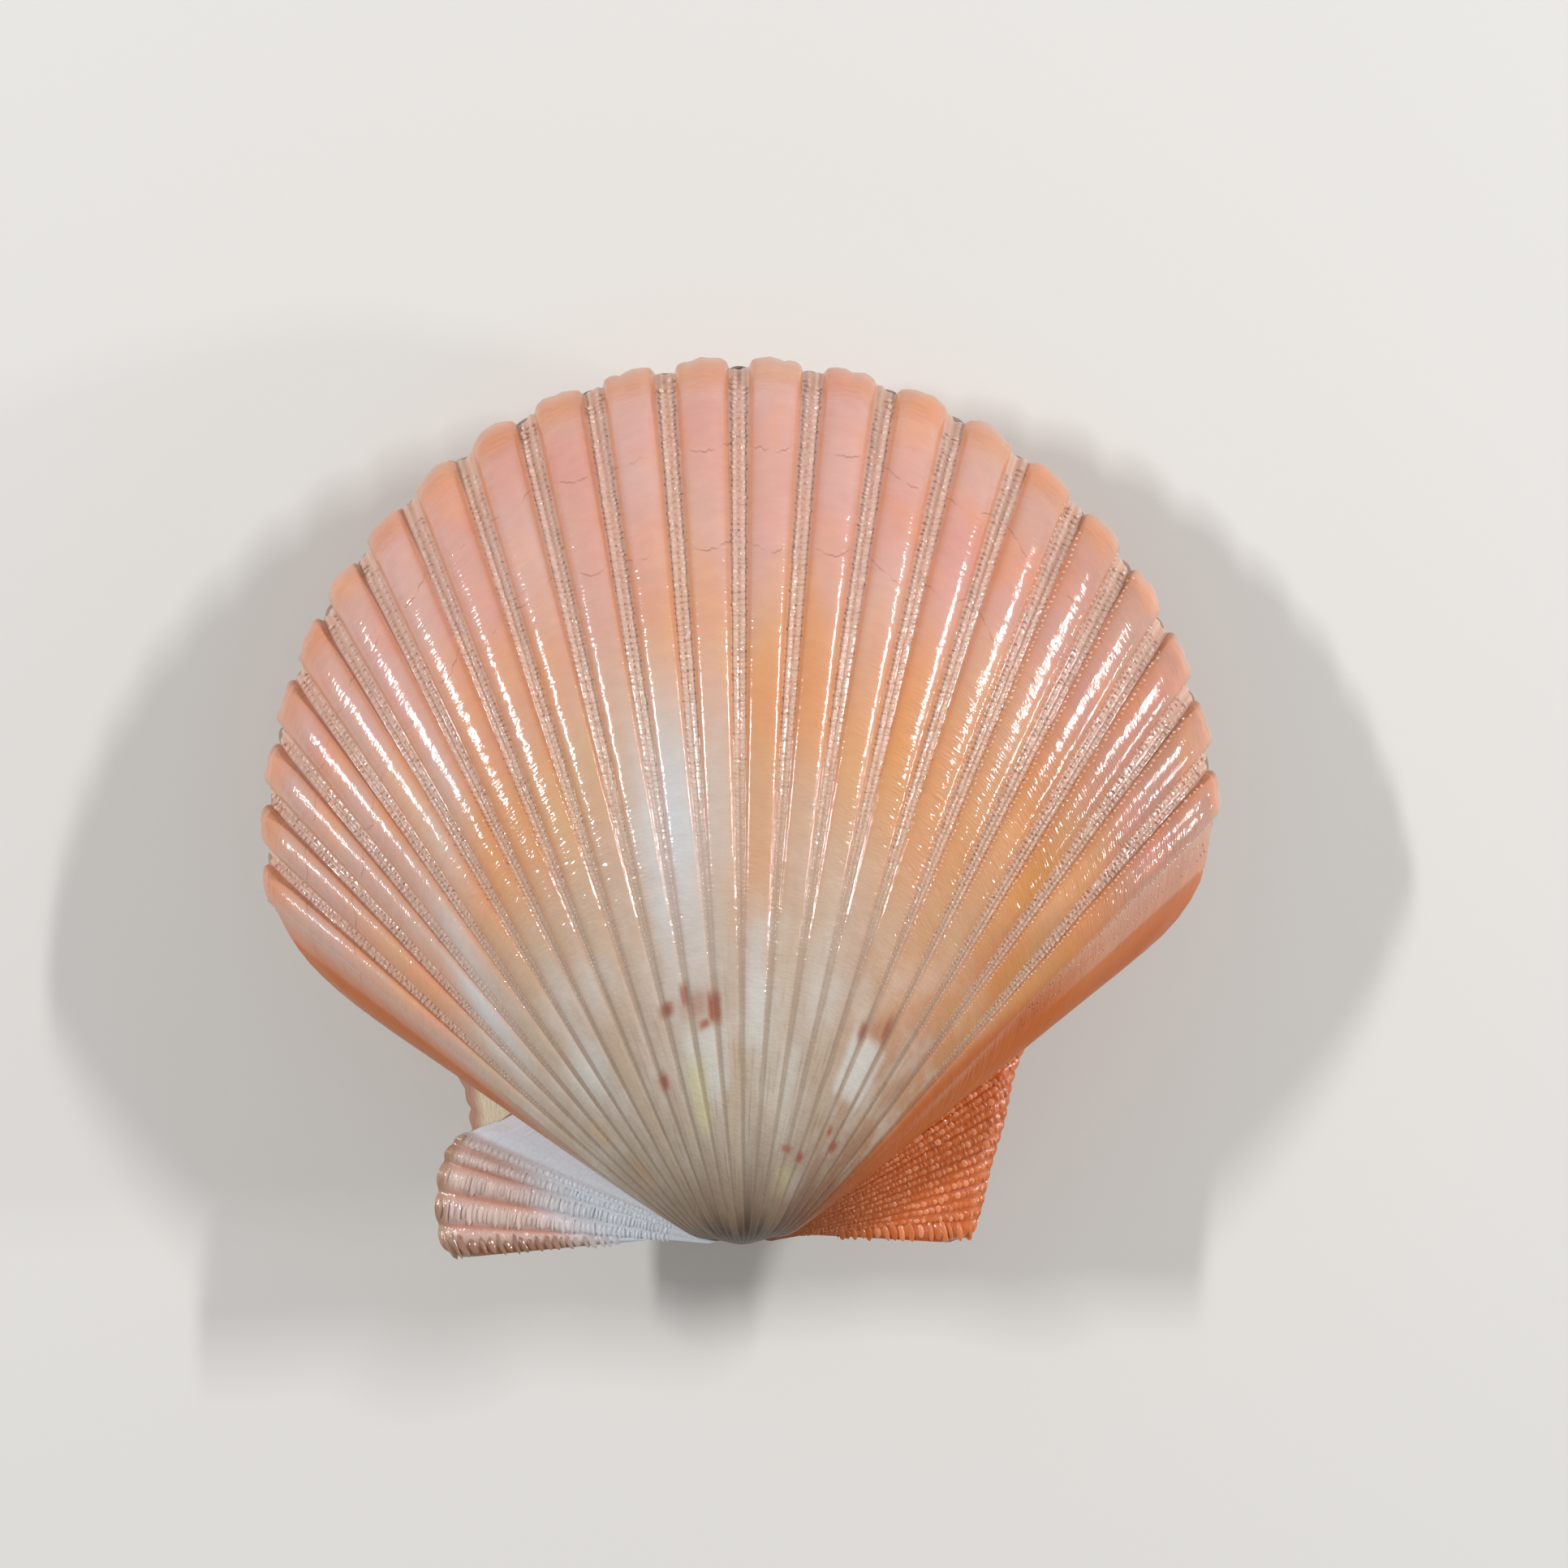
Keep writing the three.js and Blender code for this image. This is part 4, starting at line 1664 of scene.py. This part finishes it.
class ShellSheet(Sheet):
    """The tree of a shell's finish, with what all of its parts read at hand."""

    def __init__(self, tree: bpy.types.NodeTree) -> None:
        """Reads the shell's own values and its mottling.

        Args:
            tree: The tree that nodes are added to.
        """
        super().__init__(tree)
        self.rib, self.growth = self.read("rib"), self.read("growth")
        self.crest, self.across = self.read("crest"), self.read("across")
        mottle = self.use(MOTTLE, cloud_size=2.6).outputs
        self.mottling, self.grain = mottle["Cloud"], mottle["Grain"]


@dataclass(frozen=True)
class ShellFinish:
    """The glossy finish of a valve or of the scales on it.

    The first fields set one shell surface apart from another: whether it has the marks of the upper
    valve, whether it is the scales, and how glossy it is. The colours are the same for all of them.
    """

    name: str
    marked: bool
    scaly: bool = False
    gloss: float = 0.45
    coat: float = 1.0
    worn_coat: float = 0.12
    coat_roughness: float = 0.05
    coat_ior: float = 1.6
    ior: float = 1.53
    specular: float = 0.25
    line_depth: float = 0.00006
    groove: Colour = paint(222, 192, 172)
    groove_foot: Colour = paint(210, 168, 148)
    crack: Colour = paint(140, 96, 76)
    # Saturated orange-brown for the ribs' steep sides: painted shade, standing in for the warm
    # shadow that falls on them.
    wall: Colour = paint(204, 132, 84)
    young_groove: Colour = paint(140, 116, 94)
    gold: Colour = paint(218, 148, 92)
    bluish: Colour = paint(206, 206, 206)
    chalk: Colour = paint(210, 206, 198)
    greenish: Colour = paint(198, 190, 146)
    ochre: Colour = paint(196, 158, 112)
    ray: Colour = paint(122, 90, 62)
    red_brown: Colour = paint(158, 82, 60)
    flank: Colour = paint(184, 92, 28)
    left_flank: Colour = paint(192, 106, 50)
    front_band: Colour = paint(216, 190, 180)
    front_groove: Colour = paint(190, 132, 112)
    front_edge: Colour = paint(176, 136, 112)
    # The front ear darkens towards the hinge: partly its own brown hinge band, partly painted shade
    # where the light falls off towards the hinge.
    front_hinge_brown_and_shade: Colour = paint(140, 88, 56)
    fasciole: Colour = paint(226, 232, 240)
    back_ear: Colour = paint(206, 98, 18)
    back_groove: Colour = paint(186, 78, 8)
    back_edge: Colour = paint(206, 108, 48)
    # Darkens the back ear and the flanks towards the umbo: partly the shell's own brown, partly
    # painted shade where the beak curls away from the light.
    umbo_brown_and_shade: Colour = paint(146, 74, 16)
    back_scale: Colour = paint(228, 142, 96)
    nacre: Colour = paint(240, 230, 200)
    nacre_rim: Colour = paint(196, 172, 158)
    notch_rim: Colour = paint(200, 152, 132)
    scale_grey: Colour = paint(232, 212, 198)

    def masks(self, sheet: ShellSheet, marks: tuple[Mark, ...], rib: object,
              growth: object) -> object:
        """The strongest of several marks at each place.

        Args:
            sheet: The tree that the nodes go into.
            marks: The marks.
            rib: The rib number, a little disturbed or not.
            growth: The growth stage, a little disturbed or not.

        Returns:
            The mask's socket.
        """
        strongest = None
        for mark in marks:
            node = sheet.use(PATCH, rib=rib, growth=growth, at_rib=mark.rib, at_growth=mark.growth,
                             half_ribs=mark.half_ribs, half_growth=mark.half_growth,
                             softness=mark.softness, lean=mark.lean)
            mask = sheet.math("MULTIPLY", node.outputs["Mask"], mark.strength)
            strongest = mask if strongest is None else sheet.math("MAXIMUM", strongest, mask)
        return strongest

    def disc(self, sheet: ShellSheet) -> object:
        """The disc's colour: bands, streaks, marks, grooves and flanks.

        Args:
            sheet: The tree that the nodes go into.

        Returns:
            The finished colour's socket.
        """
        colour = sheet.use(SHELL_COLOUR, rib=sheet.rib, growth=sheet.growth).outputs["Color"]
        if self.marked:
            colour = self.marks(sheet, colour)
        if self.scaly:
            colour = sheet.mix(0.6, colour, self.scale_grey)
        else:
            colour = self.grooves(sheet, colour)
        return self.flanks(sheet, colour)

    def marks(self, sheet: ShellSheet, colour: object) -> object:
        """The upper valve's streaks, patches and marks over the disc's colour.

        Args:
            sheet: The tree that the nodes go into.
            colour: The colour so far.

        Returns:
            The finished colour's socket.
        """
        rib, growth = sheet.rib, sheet.growth
        shake = sheet.math("MULTIPLY", sheet.math("SUBTRACT", sheet.mottling, 0.5), 0.6)
        near = sheet.math("ADD", rib, shake)
        up = sheet.math("MULTIPLY_ADD", shake, 0.03, growth)
        crown = sheet.step(sheet.crest, 0.2, 0.8)
        young = sheet.step(growth, 0.13, 0.26)
        young = sheet.math("MULTIPLY", young, sheet.step(growth, 0.56, 0.4))
        white = sheet.cloud(near, growth, (0.75, 15.0), 3.0, 3.0)
        white = sheet.math("MULTIPLY", sheet.step(white, 0.4, 0.72), young)
        colour = sheet.mix(sheet.math("MULTIPLY", white, 0.45), colour, self.chalk)
        rays = sheet.cloud(rib, growth, (7.0, 16.0), 6.0, 3.0)
        rays = sheet.math("MULTIPLY", sheet.step(rays, 0.5, 0.75), sheet.step(growth, 0.5, 0.2))
        colour = sheet.mix(sheet.math("MULTIPLY", rays, 0.4), colour, self.ray)
        colour = sheet.mix(self.masks(sheet, GOLD_PATCHES, near, up), colour, self.gold)
        colour = sheet.mix(self.masks(sheet, WHITE_STREAKS, near, up), colour, self.bluish)
        chalk = sheet.math("MULTIPLY", self.masks(sheet, PALE_PATCHES, rib, up),
                           sheet.math("MULTIPLY_ADD", crown, 0.6, 0.4))
        colour = sheet.mix(chalk, colour, self.chalk)
        for marks, place, tone in ((GREEN_PATCHES, near, self.greenish),
                                   (OCHRE_PATCHES, near, self.ochre),
                                   (RED_MARKS, rib, self.red_brown)):
            colour = sheet.mix(self.masks(sheet, marks, place, up), colour, tone)
        return colour

    def grooves(self, sheet: ShellSheet, colour: object) -> object:
        """The grooves between the ribs and the growth stops over the disc's colour.

        Args:
            sheet: The tree that the nodes go into.
            colour: The colour so far.

        Returns:
            The finished colour's socket.
        """
        rib, growth, crest = sheet.rib, sheet.growth, sheet.crest
        older = sheet.step(growth, 0.3, 0.62)
        soft = sheet.math("MULTIPLY_ADD", older, -0.4, 0.62)
        groove = sheet.math("SUBTRACT", 1.0, sheet.step(crest, 0.02, soft))
        floor = sheet.mix(sheet.read("riblet"), self.groove_foot, self.groove)
        floor = sheet.mix(older, self.young_groove, floor)
        # The ribs' steep sides take the wall colour: painted shade for the warm shadow on them.
        wall = sheet.math("MULTIPLY", sheet.step(crest, 0.03, 0.3), sheet.step(crest, 0.95, 0.5))
        wall = sheet.math("MULTIPLY", wall, sheet.math("MULTIPLY", older, 0.5))
        colour = sheet.mix(wall, colour, self.wall)
        groove = sheet.math("MULTIPLY", groove, sheet.math("MULTIPLY_ADD", older, 0.25, 0.42))
        colour = sheet.mix(groove, colour, floor)
        for stage, sag in ((0.893, 0.011), (0.79, 0.012)):
            stop = sheet.use(ARREST, rib=rib, growth=growth, at_growth=stage, sag=sag)
            line = sheet.math("MULTIPLY", stop.outputs["Mask"], 0.5)
            colour = sheet.mix(line, colour, self.crack)
        return colour

    def flanks(self, sheet: ShellSheet, colour: object) -> object:
        """The orange of the two smooth sides over the disc's colour.

        Args:
            sheet: The tree that the nodes go into.
            colour: The colour so far.

        Returns:
            The finished colour's socket.
        """
        rib, growth = sheet.rib, sheet.growth
        from_rib = sheet.math("SUBTRACT", rib, sheet.step(growth, 0.35, 0.8))
        right = sheet.step(from_rib, 20.2, 20.95)
        right = sheet.math("MULTIPLY", right, sheet.step(growth, 0.04, 0.2))
        left = sheet.math("MULTIPLY", sheet.step(rib, -0.25, -0.75), sheet.step(growth, 0.3, 0.6))
        flank = sheet.math("MAXIMUM", left, right)
        orange = sheet.mix(left, self.flank, self.left_flank)
        # Darker orange-brown towards the umbo: partly the shell's own colour, partly painted shade.
        orange = sheet.mix(sheet.step(growth, 0.36, 0.1), orange, self.umbo_brown_and_shade)
        return sheet.mix(sheet.math("MULTIPLY", flank, 0.95), colour, orange)

    def front(self, sheet: ShellSheet) -> object:
        """The front ear's colour: pink bands, brown grooves and the smooth bluish triangle.

        Args:
            sheet: The tree that the nodes go into.

        Returns:
            The finished colour's socket.
        """
        growth, across, band = sheet.growth, sheet.across, self.front_band
        if not self.scaly:
            groove = sheet.math("SUBTRACT", 1.0, sheet.read("riblet"))
            band = sheet.mix(groove, self.front_band, self.front_groove)
        # Darker towards the hinge line: partly the brown hinge band, partly painted shade.
        colour = sheet.mix(sheet.step(across, 0.24, 0.08), band, self.front_hinge_brown_and_shade)
        colour = sheet.mix(sheet.step(growth, 0.94, 0.985), colour, self.front_edge)
        mottling = sheet.math("MULTIPLY", sheet.mottling, 0.12)
        toward = sheet.math("MULTIPLY_ADD", across, 0.42, mottling)
        smooth = sheet.step(sheet.math("SUBTRACT", growth, toward), 0.52, 0.2)
        colour = sheet.mix(smooth, colour, self.fasciole)
        return sheet.mix(sheet.step(across, 0.72, 0.86), colour, self.fasciole)

    def back(self, sheet: ShellSheet) -> object:
        """The back ear's colour: deep orange, redder in its grooves.

        Args:
            sheet: The tree that the nodes go into.

        Returns:
            The finished colour's socket.
        """
        if self.scaly:
            colour = sheet.mix(sheet.read("tone"), self.back_ear, self.back_scale)
        else:
            groove = sheet.math("SUBTRACT", 1.0, sheet.read("riblet"))
            colour = sheet.mix(groove, self.back_ear, self.back_groove)
        colour = sheet.mix(sheet.step(sheet.growth, 0.93, 0.985), colour, self.back_edge)
        # Darker towards the umbo: partly the ear's own brown, partly painted shade.
        return sheet.mix(sheet.step(sheet.growth, 0.7, 0.14), colour, self.umbo_brown_and_shade)

    def coating(self, sheet: ShellSheet) -> object:
        """How glossy the shell is: its oldest part, by the umbo, is worn dull, but the ears aren't.

        Args:
            sheet: The tree that the nodes go into.

        Returns:
            The weight of the glossy coat.
        """
        ear = sheet.math("MAXIMUM", sheet.read("front_ear"), sheet.read("back_ear"))
        sides = (sheet.step(sheet.rib, 21.3, 21.7), sheet.step(sheet.rib, -0.3, -0.7))
        flank = sheet.math("MULTIPLY", sheet.math("MAXIMUM", *sides), 0.8)
        kept = sheet.math("SUBTRACT", sheet.step(sheet.growth, 0.18, 0.5), flank, clamp=True)
        kept = sheet.math("MAXIMUM", kept, ear)
        return sheet.math("MULTIPLY_ADD", kept, self.coat - self.worn_coat, self.worn_coat)

    def material(self) -> bpy.types.Material:
        """The finish as a material.

        Returns:
            The material.
        """
        made = blank_material(self.name)
        sheet = ShellSheet(made.node_tree)
        lines = sheet.use(LINES, rib=sheet.rib, growth=sheet.growth, across=sheet.across,
                          fineness=1.0).outputs
        colour = sheet.mix(sheet.read("front_ear"), self.disc(sheet), self.front(sheet))
        colour = sheet.mix(sheet.read("back_ear"), colour, self.back(sheet))
        shade = sheet.math("MULTIPLY_ADD", lines["Tint"], 0.16, 0.92)
        shade = sheet.math("SUBTRACT", shade, 0.05)
        shade = sheet.math("MULTIPLY_ADD", sheet.mottling, 0.1, shade)
        if self.scaly:
            shade = sheet.math("SUBTRACT", shade, 0.1)
            shade = sheet.math("MULTIPLY_ADD", sheet.read("tone"), 0.2, shade)
        else:
            rim = sheet.step(sheet.growth, 0.93, 0.985)
            edge = sheet.mix(sheet.read("front_ear"), self.nacre_rim, self.notch_rim)
            lining = sheet.mix(rim, self.nacre, edge)
            colour = sheet.mix(sheet.read("inside"), colour, lining)
        grey = sheet.trio(shade, shade, shade)
        colour = sheet.mix(1.0, colour, grey, "MULTIPLY")

        shader = sheet.add("ShaderNodeBsdfPrincipled")
        sheet.put(shader.inputs["Base Color"], colour)
        rough = sheet.math("MULTIPLY_ADD", sheet.grain, 0.16, self.gloss - 0.08)
        sheet.put(shader.inputs["Roughness"], rough)
        shader.inputs["IOR"].default_value = self.ior
        shader.inputs["Specular IOR Level"].default_value = self.specular
        sheet.put(shader.inputs["Coat Weight"], self.coating(sheet))
        shader.inputs["Coat Roughness"].default_value = self.coat_roughness
        shader.inputs["Coat IOR"].default_value = self.coat_ior
        bump = sheet.add("ShaderNodeBump")
        bump.inputs["Strength"].default_value = 1.0
        bump.inputs["Distance"].default_value = self.line_depth
        height = sheet.math("MULTIPLY_ADD", sheet.grain, 0.12, lines["Height"])
        sheet.put(bump.inputs["Height"], height)
        sheet.put(shader.inputs["Normal"], bump.outputs["Normal"])
        sheet.put(shader.inputs["Coat Normal"], bump.outputs["Normal"])
        sheet.put(sheet.add("ShaderNodeOutputMaterial").inputs["Surface"], shader.outputs[0])
        return made


@dataclass(frozen=True)
class LigamentFinish:
    """The dark horny finish of the ligament, with fibres running from valve to valve."""

    dark: Colour = paint(38, 24, 16)
    light: Colour = paint(96, 62, 36)
    fibre_depth: float = 0.00012

    def material(self) -> bpy.types.Material:
        """The finish as a material.

        Returns:
            The material.
        """
        made = blank_material("ligament_horn")
        sheet = Sheet(made.node_tree)
        along, turn = sheet.read("along"), sheet.read("turn")
        fibres = sheet.cloud(along, turn, (9.0, 1.0), detail=3.0)
        cloud = sheet.use(MOTTLE, cloud_size=1.2).outputs["Cloud"]
        mixed = sheet.math("MULTIPLY_ADD", cloud, 0.4, sheet.math("MULTIPLY", fibres, 0.6))
        shader = sheet.add("ShaderNodeBsdfPrincipled")
        colour = sheet.mix(sheet.step(mixed, 0.35, 0.7), self.dark, self.light)
        sheet.put(shader.inputs["Base Color"], colour)
        sheet.put(shader.inputs["Roughness"], sheet.math("MULTIPLY_ADD", fibres, 0.3, 0.4))
        bump = sheet.add("ShaderNodeBump")
        bump.inputs["Distance"].default_value = self.fibre_depth
        sheet.put(bump.inputs["Height"], mixed)
        sheet.put(shader.inputs["Normal"], bump.outputs["Normal"])
        sheet.put(sheet.add("ShaderNodeOutputMaterial").inputs["Surface"], shader.outputs[0])
        return made


@dataclass(frozen=True)
class Lamp:
    """One soft light: where it is and its two sides, in metres, and its power, in watts."""

    name: str
    at: tuple[float, float, float]
    size: Point
    power: float


@dataclass(frozen=True)
class Studio:
    """Floor, soft lights and the camera."""

    rest: Rest
    picture_width: float = 119.26
    distance: float = 330.0
    aim: Point = (4.155, 34.95)
    roll: float = 1.75
    sensor: float = 36.0
    floor_size: float = 3.0
    floor: Colour = paint(226, 224, 220)
    floor_roughness: float = 0.85
    sky: Colour = (1.0, 1.0, 1.0, 1.0)
    sky_strength: float = 0.31
    lamps_face: tuple[float, float, float] = (0.0, 0.0, 0.015)
    lamps: tuple[Lamp, ...] = (
        Lamp("main_light", (0.47, 0.22, 0.40), (0.02, 0.16), 2.1),
        Lamp("right_light", (0.60, -0.04, 0.22), (0.03, 0.08), 0.9),
        Lamp("left_light", (-0.44, 0.18, 0.42), (0.022, 0.13), 2.0),
    )

    @staticmethod
    def place(made: bpy.types.Object, right: Array, up: Array, out: Array, at: Array) -> None:
        """Puts a light or camera in the scene, looking against one of its directions.

        Args:
            made: The light or camera.
            right: Its direction to the right.
            up: Its direction up.
            out: The direction away from what it looks at.
            at: Where it is, in metres.
        """
        pose = np.eye(4)
        pose[:3] = np.stack([right, up, out, at], 1)
        made.matrix_world = Matrix(pose.tolist())
        bpy.context.scene.collection.objects.link(made)

    def place_floor(self) -> None:
        """A plain pale floor under the shell."""
        half = self.floor_size / 2
        mesh = bpy.data.meshes.new("floor")
        corners = [(-half, -half, 0), (half, -half, 0), (half, half, 0), (-half, half, 0)]
        mesh.from_pydata(corners, [], [(0, 1, 2, 3)])
        floor = bpy.data.objects.new("floor", mesh)
        bpy.context.scene.collection.objects.link(floor)
        made = bpy.data.materials.new("floor_paper")
        made.use_nodes = True
        shader = made.node_tree.nodes["Principled BSDF"]
        shader.inputs["Base Color"].default_value = self.floor
        shader.inputs["Roughness"].default_value = self.floor_roughness
        mesh.materials.append(made)

    def place_lamp(self, lamp: Lamp) -> None:
        """One soft light that faces the shell, its longer side running along y.

        Args:
            lamp: The light.
        """
        light = bpy.data.lights.new(lamp.name, "AREA")
        light.shape = "RECTANGLE"
        light.size, light.size_y = lamp.size
        light.energy = lamp.power
        out = unit(np.array(lamp.at) - np.array(self.lamps_face))
        side = unit(np.cross([0.0, 1.0, 0.0], out))
        made = bpy.data.objects.new(lamp.name, light)
        self.place(made, side, np.cross(out, side), out, np.array(lamp.at))

    def place_world(self) -> None:
        """Even pale light from all round."""
        world = bpy.data.worlds.new("studio")
        world.use_nodes = True
        back = world.node_tree.nodes["Background"]
        back.inputs["Color"].default_value = self.sky
        back.inputs["Strength"].default_value = self.sky_strength
        bpy.context.scene.world = world

    def place_camera(self) -> None:
        """The camera, straight above the plane where the valves meet."""
        shift = self.rest.shift()
        aim = (self.rest.turned(np.array([*self.aim, 0.0])) + shift) * METRES_PER_MM
        out = self.rest.turned(np.array([0.0, 0.0, 1.0]))
        roll = math.radians(self.roll)
        right = self.rest.turned(np.array([math.cos(roll), -math.sin(roll), 0.0]))
        lens = bpy.data.cameras.new("camera")
        lens.sensor_width = self.sensor
        lens.lens = self.sensor * self.distance / self.picture_width
        lens.clip_start = 0.01
        camera = bpy.data.objects.new("camera", lens)
        spot = aim + out * self.distance * METRES_PER_MM
        self.place(camera, right, np.cross(out, right), out, spot)
        bpy.context.scene.camera = camera

    def build(self) -> None:
        """Everything round the shell."""
        self.place_floor()
        self.place_world()
        for lamp in self.lamps:
            self.place_lamp(lamp)
        self.place_camera()
        scene = bpy.context.scene
        scene.view_settings.view_transform = "Standard"
        scene.view_settings.look = "None"


UPPER_RELIEF = Relief(rib_height=0.8, crest_half=0.275, foot_half=0.39, rib_offset=0.0,
                      young_crest=0.31, young_foot=0.45)
LOWER_RELIEF = Relief(rib_height=0.8, crest_half=0.13, foot_half=0.25, rib_offset=0.5,
                      young_crest=0.13, young_foot=0.25)

NOTCHED_EAR = Ear(
    outline=((-21.4, -0.2), (-22.8, 0.6), (-23.3, 2.8), (-23.0, 6.2), (-21.9, 8.5), (-20.0, 9.6),
             (-18.2, 10.0)),
    riblets=((0.9, 1.35), (3.6, 1.22), (6.1, 1.08), (7.9, 0.6), (8.9, 0.42)), riblet_height=0.3)
LOWER_FRONT_EAR = Ear(
    outline=((-21.4, -0.2), (-22.6, 0.6), (-22.5, 2.6), (-21.4, 6.0), (-20.5, 9.7), (-20.8, 12.5)),
    riblets=((1.0, 1.3), (3.3, 1.0), (5.2, 0.9), (7.0, 0.85), (8.7, 0.8), (10.3, 0.75),
             (11.8, 0.7)),
    riblet_height=0.28)
BACK_EAR = Ear(
    outline=((15.7, -0.2), (17.4, 0.4), (18.2, 2.3), (19.0, 5.4), (20.1, 8.8), (20.9, 12.2),
             (21.75, 14.4)),
    riblets=((0.75, 0.85), *((2.0 + 0.93 * k, 0.46) for k in range(14))),
    riblet_height=0.17, lobe=0.1)
LEFT_SHOULDER = Shoulder((-16.8, 10.7), (-27.4, 18.0), (-33.4, 22.6), 142.6)
LOWER_LEFT_SHOULDER = Shoulder((-22.0, 14.6), (-27.4, 18.0), (-33.4, 22.6), 142.6)
RIGHT_SHOULDER = Shoulder((22.2, 15.6), (29.4, 20.2), (36.4, 24.6), 40.4)


def dress(piece: bpy.types.Object, material: bpy.types.Material) -> None:
    """Gives a piece its material and reports it.

    Args:
        piece: The piece.
        material: Its finish.
    """
    piece.data.materials.clear()
    piece.data.materials.append(material)
    count = sum(len(face.vertices) - 2 for face in piece.data.polygons)
    LOG.info("%s: %d triangles", piece.name, count)


def main() -> None:
    """Builds the shell, its surroundings and the camera."""
    logging.basicConfig(level=logging.INFO, format="%(message)s")
    plan, rest = GrowthPlan(), Rest()
    upper = Valve("upper_shell_valve", "upper_valve", "upper_shell", plan, rest, NOTCHED_EAR,
                  BACK_EAR, LEFT_SHOULDER, RIGHT_SHOULDER, UPPER_RELIEF, bulge=1.0, below=False,
                  seed=3)
    lower = Valve("lower_shell_valve", "lower_valve", "lower_shell", plan, rest, LOWER_FRONT_EAR,
                  BACK_EAR, LOWER_LEFT_SHOULDER, RIGHT_SHOULDER, LOWER_RELIEF, bulge=0.94,
                  below=True, seed=11, notch_depth=0.1, set_back=0.55)
    smooth = ShellFinish("upper_gloss", marked=True).material()
    smooth_below = ShellFinish("lower_gloss", marked=False).material()
    scaly = ShellFinish("scale_gloss", marked=True, scaly=True, gloss=0.26).material()
    scaly_below = ShellFinish("lower_scale_gloss", marked=False, scaly=True, gloss=0.26).material()
    for valve, finish, scales in ((upper, smooth, scaly), (lower, smooth_below, scaly_below)):
        side = "lower" if valve.below else "upper"
        piece = valve.build()
        dress(piece, finish)
        offset = 0.0 if valve.below else 0.5
        dress(DiscScales(valve, f"{side}_groove_scales", groove_offset=offset).build(), scales)
        dress(EarScales(valve, valve.front, Zone.FRONT_EAR, f"{side}_front_ear_scales",
                        spacing=0.45, width_share=0.84, half_length=0.19, height=0.17, last=0.24,
                        hinge_skew=24.0).build(), scales)
        dress(EarScales(valve, valve.back, Zone.BACK_EAR, f"{side}_back_ear_scales",
                        spacing=0.44, width_share=0.7, half_length=0.2, height=0.16, last=0.24,
                        hinge_skew=8.0).build(), scales)
    dress(Ligament(plan, rest).build(), LigamentFinish().material())
    Studio(rest).build()


if __name__ == "__main__":
    main()
